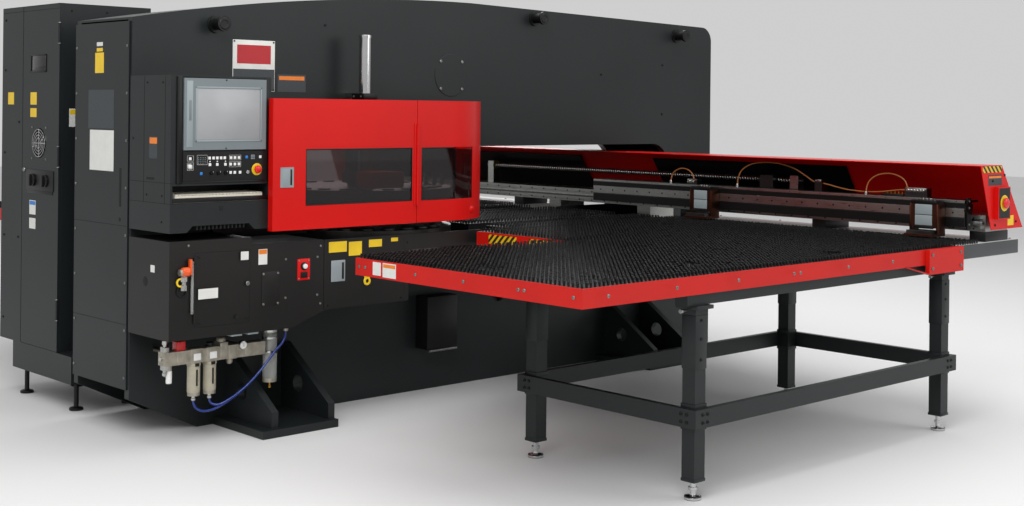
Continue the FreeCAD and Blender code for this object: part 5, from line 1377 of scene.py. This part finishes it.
@dataclass
class Carriage:
    """Beam, bar, clamps, screw and cover details on the sheet carriage."""

    labels: Labels
    base: str = "carriage_base"
    bar: str = "carriage"
    bar_ends: Span = (-2829, -51)
    clamp_face: float = 3540
    clamp_at: tuple[tuple[str, float], ...] = (("clamp_front", -2630), ("clamp_rear", -1060))
    thread_pitch: float = 0.02
    thread_inset: float = 0.03
    thread_steps: int = 14
    cap_face: float = -2950.0
    stop_at: Span = (3787, 1179)

    def build(self) -> None:
        """Builds the beam, the bar, the clamps, the screw and the cover's end."""
        self.beam()
        self.bar_face()
        self.clamps()
        self.screw()
        self.fittings()
        self.cover_end()

    def dots(self, name: str, x: float, ys: Sequence[float], zs: Sequence[float], radius: float, body: str,
             rise: float = 0.5) -> None:
        """Rows of counterbored holes, each a dark dish with a raised rim.

        Args:
            name: The set's name.
            x: The face that they are in.
            ys: Their places along y.
            zs: Their heights.
            radius: Their radius.
            body: The body that they ride on.
            rise: How far their rims stand off the face.
        """
        dish = turned(name, Facing.LEFT, (x, ys[0], zs[0]),
                      [(0, rise * 0.3), (radius * 0.8, rise * 0.3), (radius, rise), (radius, 0)], 14)
        steps = [(0, y - ys[0], z - zs[0]) for y in ys for z in zs]
        fixed(repeated(name, dish, steps), SHADOW, body, "panel_black")

    def beam(self) -> None:
        """Two rows of holes, dark foot covers and a zinc rail along the beam's face."""
        face = (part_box("cross_beam")[0].x - LEFT) * 1000
        self.dots("beam_holes", face - 0.1, range(-2840, 2841, 120), (1036, 1094), 6, self.base)
        spans = [sorted((sign * far, sign * (far - 90))) for sign in (-1, 1) for far in (2900, 1870, 840)]
        covers = [block("foot_cover", (3716, 3964), (y[0] - 3, y[1] + 3), (966, 1020), 2) for y in spans]
        fixed(joined("beam_foot_covers", covers), SATIN_BLACK, self.base, "black_paint")
        rail = block("beam_rail", (face - 0.2, face + 4), (-2890, 2890), (1056, 1076), 1)
        fixed(rail, ZINC, self.base, "bright_steel")

    def bar_face(self) -> None:
        """Silver scale, ground band, dark recesses and the end plate of the moving bar."""
        face = (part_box("carriage_bar")[0].x - LEFT) * 1000
        y = self.bar_ends
        scale = block("scale", (face - 0.25, face + 26), y, (1177, 1191), 0.2, 1)
        band = block("band", (face - 0.25, face + 1), y, (1098, 1146), 0.2, 1)
        fixed(joined("bar_bands", [scale, band]), BEAM_STEEL, self.bar, "bright_steel")
        recess = block("recess", (face - 0.2, face + 1), y, (1148, 1174), 0.1, 1)
        lower = block("lower_rail", (face - 0.2, face + 1), y, (1047, 1092), 0.1, 1)
        fixed(joined("bar_recess", [recess, lower]), SATIN_BLACK, self.bar, "black_paint")
        self.dots("bar_holes", face - 0.26, range(-2760, -90, 110), (1122,), 6, self.bar, 0.02)
        self.dots("scale_holes", face - 0.26, range(-2780, -90, 220), (1184,), 3, self.bar, 0.02)
        outline = [(-8, 1128), (-8, 1172), (14, 1172), (14, 1204), (52, 1204), (52, 1172), (74, 1172),
                   (74, 1128), (52, 1128), (52, 1036), (14, 1036), (14, 1128)]
        plate = cut_sheet("bar_end_plate", [(face + a, -2831, b) for a, b in outline], (0, -9, 0), 0.8)
        fixed(plate, SATIN_BLACK, self.bar, "black_paint")
        spots = [(face + 33, -2840, z) for z in (1060, 1150, 1188)]
        screws("bar_end_bolts", Facing.FRONT, spots, 7, self.bar)

    def clamps(self) -> None:
        """Pads, top block, bolts and side trims of both work clamps."""
        face = self.clamp_face
        stem = [(0, 0), (7, 0), (7, 5), (9, 6), (9, 12), (5, 14), (0, 14)]
        for body, at in self.clamp_at:
            pads = [block("pad", (face - 5, face + 1), (at - 52, at + 52), z, 2.5, 3)
                    for z in ((1048, 1104), (1107, 1163))]
            fixed(joined(f"{body}_pads", pads), BEZEL_LIGHT, body, "bezel_plastic")
            top = block("top", (face - 4, 3618), (at - 78, at + 78), (1164, 1186), 3)
            nose = block("nose", (face - 9, face + 4), (at - 60, at + 60), (1030, 1046), 2)
            fixed(joined(f"{body}_top", [top, nose]), SATIN_BLACK, body, "black_paint")
            trims = [block("trim", (face - 3, 3616), side, (1000, 1165), 1.5)
                     for side in ((at - 87, at - 76), (at + 76, at + 87))]
            fixed(joined(f"{body}_trims", trims), BRONZE, body, "anodised")
            screws(f"{body}_bolts", Facing.UP, [(x, at + dy, 1186) for x in (3560, 3600) for dy in (-55, 55)],
                   6, body)
            stems = [turned("stem", Facing.UP, (3575, at + dy, 1184), stem, 16) for dy in (-22, 0, 22)]
            fixed(joined(f"{body}_air_stems", stems), NICKEL, body, "cast_aluminium")

    def screw(self) -> None:
        """A helical thread over the whole drive screw, and a painted bearing ring at one end."""
        low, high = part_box("drive_screw")
        middle = (low + high) / 2
        start = low.y + self.thread_inset
        mesh = bpy.data.meshes.new("screw_thread")
        radius = (high.z - low.z) / 2
        rim = [(radius - 0.0006, 0.0, 0.0), (radius + 0.0016, 0.002, 0.0), (radius + 0.0016, 0.008, 0.0),
               (radius - 0.0006, 0.010, 0.0)]
        mesh.from_pydata(rim, [(0, 1), (1, 2), (2, 3)], [])
        thread = bpy.data.objects.new("screw_thread", mesh)
        bpy.context.collection.objects.link(thread)
        pick(thread)
        turn = thread.modifiers.new("turns", "SCREW")
        turn.axis = "Y"
        turn.angle = 2 * math.pi
        turn.screw_offset = self.thread_pitch
        turn.iterations = int((high.y - start - self.thread_inset) / self.thread_pitch)
        turn.steps = self.thread_steps
        turn.render_steps = self.thread_steps
        bpy.ops.object.modifier_apply(modifier=turn.name)
        thread.data.transform(Matrix.Translation(Vector((middle.x, start, middle.z))))
        fixed(named(thread, "screw_thread"), SHAFT_STEEL, self.base, "bright_steel")
        x, z = (middle.x - LEFT) * 1000, middle.z * 1000
        collar = [(17, 0), (17, 4.5), (27, 4.5), (33, 3), (35, 0), (17, 0)]
        ring = turned("bearing_ring", Facing.FRONT, (x, 1157, z), collar, 32)
        fixed(ring, OLIVE, self.base, "cast_aluminium")

    def fittings(self) -> None:
        """Sockets, couplings and small tubes of the air blocks on the bar."""
        nickel = []
        for x, y, tall in ((3640, -730, 19), (3655, -1260, 24), (3640, -2200, 19)):
            nickel.append(turned("socket", Facing.UP, (x, y, 1191),
                                 [(4.4, tall), (8.4, 19), (9.6, 16), (9.6, 3), (12, 2), (12, 0)], 12))
        for y0, y1, x0, high in ((-940, -860, 3645, 1225), (-1860, -1810, 3690, 1260),
                                 (-2590, -2450, 3640, 1245)):
            nickel.append(block("cap", (x0 - 1, x0 + 51), (y0 + 4, y1 - 4), (high - 14, high + 1), 2))
        for index in range(6):
            nickel.append(turned("coupling", Facing.LEFT, (3641, -2470 - 19 * index, 1230),
                                 [(0, 15), (5, 15), (6.5, 12), (6.5, 4), (8, 3), (8, 0)], 12))
        for y in (-880, -910):
            nickel.append(turned("coupling", Facing.LEFT, (3646, y, 1208),
                                 [(0, 18), (5, 18), (7, 14), (7, 4), (8, 3), (8, 0)], 12))
        fixed(joined("air_couplings", nickel), NICKEL, self.bar, "cast_aluminium")
        nipple = [(6, 0), (6, 8), (8, 9), (8, 18), (4, 20), (4, 27), (0, 28)]
        brass = [turned("nipple", Facing.UP, (3690 - 3 * index, -2310 - 26 * index, 1190), nipple, 12)
                 for index in range(5)]
        fixed(joined("brass_nipples", brass), BRASS, self.bar, "cast_aluminium")
        manifold = block("manifold", (3640, 3700), (-2440, -2300), (1190, 1204), 2)
        fixed(manifold, BLACK_PLASTIC, self.bar, "knob_black")

    def cover_end(self) -> None:
        """Stripes, card, stop button ring, plate and bolts on the cover's front cap."""
        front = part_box("carriage_cover")[0].y * 1000
        face = self.cap_face
        self.labels.face("cap_stripes", Facing.FRONT, (3592, 3798), (1346, 1381), face, HAZARD, self.base)
        self.labels.card("cap_card", Facing.FRONT, (3652, 3800), (1276, 1334), face, self.base, ORANGE, INK)
        self.labels.face("cap_yellow", Facing.FRONT, (3868, 3935), (1052, 1106), face, YELLOW, self.base)
        x, z = self.stop_at
        ring = turned("cap_ring", Facing.FRONT, (x, front - 0.3, z),
                      [(14, 0), (14, 0.5), (43.6, 0.5), (44, 0), (14, 0)], 44)
        fixed(ring, YELLOW, self.base, "lockout_orange")
        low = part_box("cap_estop")[0].y * 1000
        crown = [(0, 0.2), (13, 0), (22, -1.5), (28, -5), (30, -9), (29, -13), (24, -15.4), (14, -15.8),
                 (11, -16), (11, -20), (0, -20)]
        fixed(turned("cap_stop_button", Facing.FRONT, (x, low, z), crown, 40), STOP_RED, "cap_estop",
              "stop_red", "cap_estop")
        near = (front - 0.3, front + 2)
        bars = [block("bar", x, near, z, 0.3, 1) for x, z in (
            ((3727, 3772), (1097, 1261)), ((3802, 3847), (1097, 1261)), ((3772, 3802), (1097, 1164)),
            ((3772, 3802), (1194, 1261)))]
        fixed(joined("cap_box_face", bars), BLACK_PLASTIC, self.base, "knob_black")
        bolts = [(3700, face, 1300), (3960, face, 1070), (3830, face, 1330), (3730, face, 1060)]
        screws("cap_bolts", Facing.FRONT, bolts, 7, self.base, SATIN_BLACK)
        dark = [cut_sheet("inner_panel", [(3808, y0, 1340), (3808, y1, 1340), (4000, y1, 1060),
                                          (4000, y0, 1060)], (5, 0, 3), 0)
                for y0, y1 in ((-1950, -420), (260, 2860))]
        fixed(joined("cover_panels", dark), SATIN_BLACK, self.base, "black_paint")
        spots = [(3580, y, 1385) for y in range(-2800, 2801, 400)]
        screws("cover_screws", Facing.UP, spots, 5, self.base)


@dataclass
class Cabinet:
    """Display window, fan guard, breaker plate, hinges and fields on the electrical cabinet."""

    labels: Labels
    body: str = "cabinet_door"
    face: float = 50.0
    fan_at: Span = (845, 1445)
    knob_z: float = 1236

    def build(self) -> None:
        """Builds the fittings on the door, then the ones on the fixed shell."""
        self.window()
        self.fan()
        self.knobs()
        self.fields()
        self.shell()

    def window(self) -> None:
        """The display's pane, its frame and the breakers' plate."""
        at = self.face
        window = block("cabinet_window", (at - 2, at + 1), (770, 950), (1850, 1935), 2)
        fixed(window, SMOKED, self.body, "smoked_pane")
        frame_bars = [block("frame", (at - 4, at + 1), y, z, 1.5)
                      for y, z in border((760, 960), (1842, 1943), 10, 8)]
        plate = block("breaker_plate", (at - 5, at + 1), (655, 1000), (1178, 1294), 4)
        base = block("breaker_foot", (at - 3, at + 1), (665, 990), (1160, 1178), 3)
        fixed(joined("cabinet_frames", [*frame_bars, plate, base]), BLACK_PLASTIC, self.body, "knob_black")

    def fan(self) -> None:
        """Wire rings, cross bars and corner screws of the fan's guard."""
        at = self.face
        y, z = self.fan_at
        rings = [turned("ring", Facing.LEFT, (at, y, z), [(r, 0), (r, 5), (r + 3, 5), (r + 3, 0), (r, 0)], 36)
                 for r in (28, 44, 60, 76)]
        bars = [block("bar", (at - 4, at - 1), (y - 80, y + 80), (z - 2, z + 2), 1),
                block("bar", (at - 4, at - 1), (y - 2, y + 2), (z - 80, z + 80), 1)]
        fixed(joined("fan_guard", [*rings, *bars]), CHROME, self.body, "chrome")
        corners = [(at, y + 88 * a, z + 88 * b) for a in (-1, 1) for b in (-1, 1)]
        screws("fan_screws", Facing.LEFT, corners, 6, self.body)

    def knobs(self) -> None:
        """Hub, grip and stem of both breaker knobs."""
        z = self.knob_z
        for knob, y in (("breaker_knob_near", 748), ("breaker_knob_far", 908)):
            low = (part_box(knob)[0].x - LEFT) * 1000
            hub = turned("hub", Facing.LEFT, (low, y, z),
                         [(0, -12), (30, -12), (35.5, -16), (35.5, -24), (30, -28), (0, -28)], 36)
            grip = block("grip", (low, low + 16), (y - 8, y + 8), (z - 33, z + 33), 3)
            stem = turned("stem", Facing.LEFT, (low, y, z), [(8.6, -27), (8.6, -46), (0, -46)], 16)
            fixed(joined(f"{knob}_grip", [hub, grip, stem]), BLACK_PLASTIC, knob, "knob_black", knob)

    def fields(self) -> None:
        """Plain fields and the lock on the door."""
        at = self.face
        self.labels.face("door_yellow", Facing.LEFT, (880, 960), (1660, 1730), at, YELLOW, self.body)
        self.labels.face("door_yellow_low", Facing.LEFT, (880, 960), (1590, 1640), at, YELLOW, self.body)
        self.labels.card("door_blue", Facing.LEFT, (880, 960), (1040, 1120), at, self.body, BLUE_KEY, PAPER)
        self.labels.face("door_white", Facing.LEFT, (880, 960), (960, 1020), at, PAPER, self.body)
        lock = turned("cabinet_lock", Facing.LEFT, (at, 1030, 1290),
                      [(0, 4), (4, 4), (5, 7), (11, 7), (13, 4), (13, 0)], 28)
        fixed(lock, ZINC, self.body, "bright_steel")

    def shell(self) -> None:
        """Fields, seams and screws of the fixed shell, and the door's hinge caps."""
        shell = self.face
        self.labels.face("shell_yellow", Facing.LEFT, (1180, 1260), (1660, 1730), shell, YELLOW, "frame")
        seam = block("cabinet_seam", (shell - 0.6, shell + 0.3), (1061, 1064), (304, 2216), 0, 1)
        top = block("cabinet_seam_top", (shell - 0.6, shell + 0.3), (602, 1338), (2190, 2193), 0, 1)
        fixed(joined("cabinet_seams", [seam, top]), SHADOW, "frame", "panel_black")
        spots = [(shell, 1300, z) for z in (420, 900, 1380, 1860, 2150)]
        spots += [(shell, 1110, z) for z in (900, 1560)]
        screws("shell_screws", Facing.LEFT, spots, 7, "frame", SATIN_BLACK)
        side = [(x, 600, z) for x in (120, 330, 560) for z in (340, 1250, 2180)]
        screws("shell_side_screws", Facing.FRONT, side, 6, "frame", SATIN_BLACK)
        self.labels.card("shell_side_card", Facing.FRONT, (110, 190), (1540, 1640), 600, "frame", YELLOW,
                         PAPER)
        caps = []
        for low in (480, 1320, 2000):
            for z in (low - 4, low + 110):
                caps.append(turned("cap", Facing.UP, (47, 597, z),
                                   [(0, 0), (8, 0), (9, 1.5), (8, 4), (0, 4)], 18))
        fixed(joined("hinge_caps", caps), ZINC, self.body, "bright_steel")


@dataclass
class AirUnit:
    """Bowls, modules, gauge, solenoid and couplings of the air preparation unit."""

    body: str = "frame"
    middle: float = -600.0
    bowls: Span = (196, 286)
    line_z: float = 433
    bottle_x: float = 639

    def build(self) -> None:
        """Builds each part round the plain solids of the unit."""
        y = self.middle
        beige, black, nickel = [], [], []
        for x in self.bowls:
            bowl = [(0, 0), (9, 0.5), (22, 4), (30, 12), (32.2, 24), (32.2, 148), (35, 150), (35, 164),
                    (30, 166)]
            beige.append(turned("bowl", Facing.UP, (x, y, 234), bowl, 32))
            black.append(block("sight", (x - 4.5, x + 4.5), (y - 34.6, y - 30), (286, 366), 1.5))
            black.append(block("latch", (x - 11, x + 11), (y - 37.5, y - 30), (382, 398), 2))
            drain = [(0, 0), (8, 0), (12, 3), (12, 12), (9.5, 14), (9.5, 26)]
            nickel.append(turned("drain", Facing.UP, (x, y, 209.5), drain, 20))
        fixed(joined("filter_bowls", beige), BOWL, self.body, "keyboard_ivory")
        muffler = turned("muffler", Facing.UP, (60, y, 309),
                         [(0, 0), (11, 0), (14.6, 3), (14.6, 62), (10, 66), (10, 92)], 24)
        plates = [block("plate", (x - 20, x + 20), (y - 37, y - 33), (412, 446), 1.5) for x in self.bowls]
        fixed(joined("air_white_parts", [muffler, *plates]), WHITE_KEY, self.body, "button_white")
        bodies = []
        for x0, x1, low, high in ((160, 232, 398, 470), (250, 322, 398, 470), (326, 372, 404, 486),
                                  (376, 424, 396, 462), (470, 520, 404, 464), (84, 152, 410, 458)):
            bodies.append(block("module", (x0, x1), (y - 34, y + 32), (low, high), 5, 3))
        bodies.append(turned("dome", Facing.UP, (349, y, 484), [(24, 0), (24, 14), (20, 22), (0, 24)], 28))
        bodies.append(turned("dome", Facing.DOWN, (400, y, 398), [(16, 0), (16, 22), (10, 30), (0, 30)], 24))
        fixed(joined("air_modules", bodies), CAST, self.body, "cast_aluminium")
        black.append(block("coil_foot", (92, 134), (y - 22, y + 20), (456, 470), 3))
        black.append(turned("knob", Facing.UP, (self.bowls[1], y, 468),
                            [(0, 22), (16, 22), (19, 18), (19, 4), (14, 0)], 24))
        fixed(joined("air_black_parts", black), BLACK_PLASTIC, self.body, "knob_black")
        coil = block("solenoid", (88, 138), (y - 24, y + 22), (466, 512), 4, 3)
        fixed(coil, STOP_RED, self.body, "stop_red")
        for x in (517, 569):
            nickel.append(turned("coupler", Facing.RIGHT, (x, y, self.line_z),
                                 [(0, -14), (13, -14), (16, -11), (16, 11), (13, 14), (0, 14)], 6))
        nickel.append(turned("inlet", Facing.RIGHT, (10, y, self.line_z),
                             [(0, 0), (11, 0), (11, 12), (16, 14), (16, 34), (22, 36), (22, 52), (14, 54),
                              (14, 76)], 24))
        nickel.append(block("inlet_block", (22, 50), (y - 22, y + 20), (376, 492), 4, 3))
        nickel.append(turned("elbow", Facing.UP, (36, y, 490),
                             [(9, 0), (9, 10), (13, 12), (13, 30), (9, 32), (9, 40), (0, 41)], 20))
        nickel.append(turned("drain", Facing.DOWN, (36, y, 378),
                             [(9, 0), (9, 12), (12, 14), (12, 26), (6, 30), (0, 34)], 6))
        case = [(0, 3), (17, 3), (21, 1), (22, -3), (22, -16), (12, -20), (12, -32)]
        nickel.append(turned("gauge_case", Facing.FRONT, (448, y - 52, 462), case, 32))
        fixed(joined("air_nickel_parts", nickel), NICKEL, self.body, "cast_aluminium")
        dial = turned("gauge_dial", Facing.FRONT, (448, y - 55, 462), [(0, 0.8), (16.5, 0.8), (17.5, 0)], 32)
        needle = block("gauge_needle", (447, 449), (y - 56.6, y - 55.8), (455, 475), 0.4, 1)
        fixed(dial, PAPER, self.body, "button_white")
        fixed(needle, SHADOW, self.body, "panel_black")
        bottle = [(0, 0), (14, 1), (30, 8), (37, 22), (37.4, 150), (34, 156), (37.4, 162), (37.4, 250),
                  (30, 262), (20, 268), (20, 279)]
        fixed(turned("oil_bottle", Facing.UP, (self.bottle_x, y, 250), bottle, 36), CLEAR, self.body,
              "smoked_pane")
        band = [(37, 0), (39.4, 1), (39.4, 11), (37, 12)]
        bands = [turned("band", Facing.UP, (self.bottle_x, y, z), band, 36) for z in (400, 470, 506)]
        outlet = turned("outlet", Facing.RIGHT, (590, y, self.line_z),
                        [(12, 0), (16, 2), (16, 18), (12, 20)], 24)
        fixed(joined("bottle_bands", [*bands, outlet]), NICKEL, self.body, "cast_aluminium")
        stem = turned("bottle_drain", Facing.DOWN, (self.bottle_x, y, 252),
                      [(5, 0), (5, 22), (8, 24), (8, 34), (0, 36)], 16)
        fixed(stem, BRASS, self.body, "cast_aluminium")
        feed = turned("upper_feed", Facing.UP, (668, y + 30, 466), [(12, 0), (12, 60), (0, 60)], 20)
        fixed(feed, GREY_HANDLE, self.body, "handle_grey")


def dress_frame() -> None:
    """Gives every CAD node its finish."""
    for finish, names in CAD_FINISHES.items():
        for name in names:
            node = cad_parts[name]
            node.data.materials.clear()
            node.data.materials.append(STOCK.material(finish))
    LOG.info("%d nodes dressed", sum(len(names) for names in CAD_FINISHES.values()))


def write_sizes() -> None:
    """Brings the view layer up to date."""
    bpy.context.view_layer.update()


def main() -> None:
    """Builds the studio, the hoses and every sub-assembly in order."""
    logging.basicConfig(level=logging.INFO, format="%(message)s")
    Studio().build()
    Hoses().build()
    dress_frame()
    labels = Labels()
    for part in (BridgeFrame(labels), Console(labels), LowerCovers(labels), Guard(), Tables(labels), Legs(),
                 Carriage(labels), Cabinet(labels), AirUnit()):
        part.build()
        LOG.info("%s done", type(part).__name__)
    write_sizes()


if __name__ == "__main__":
    main()
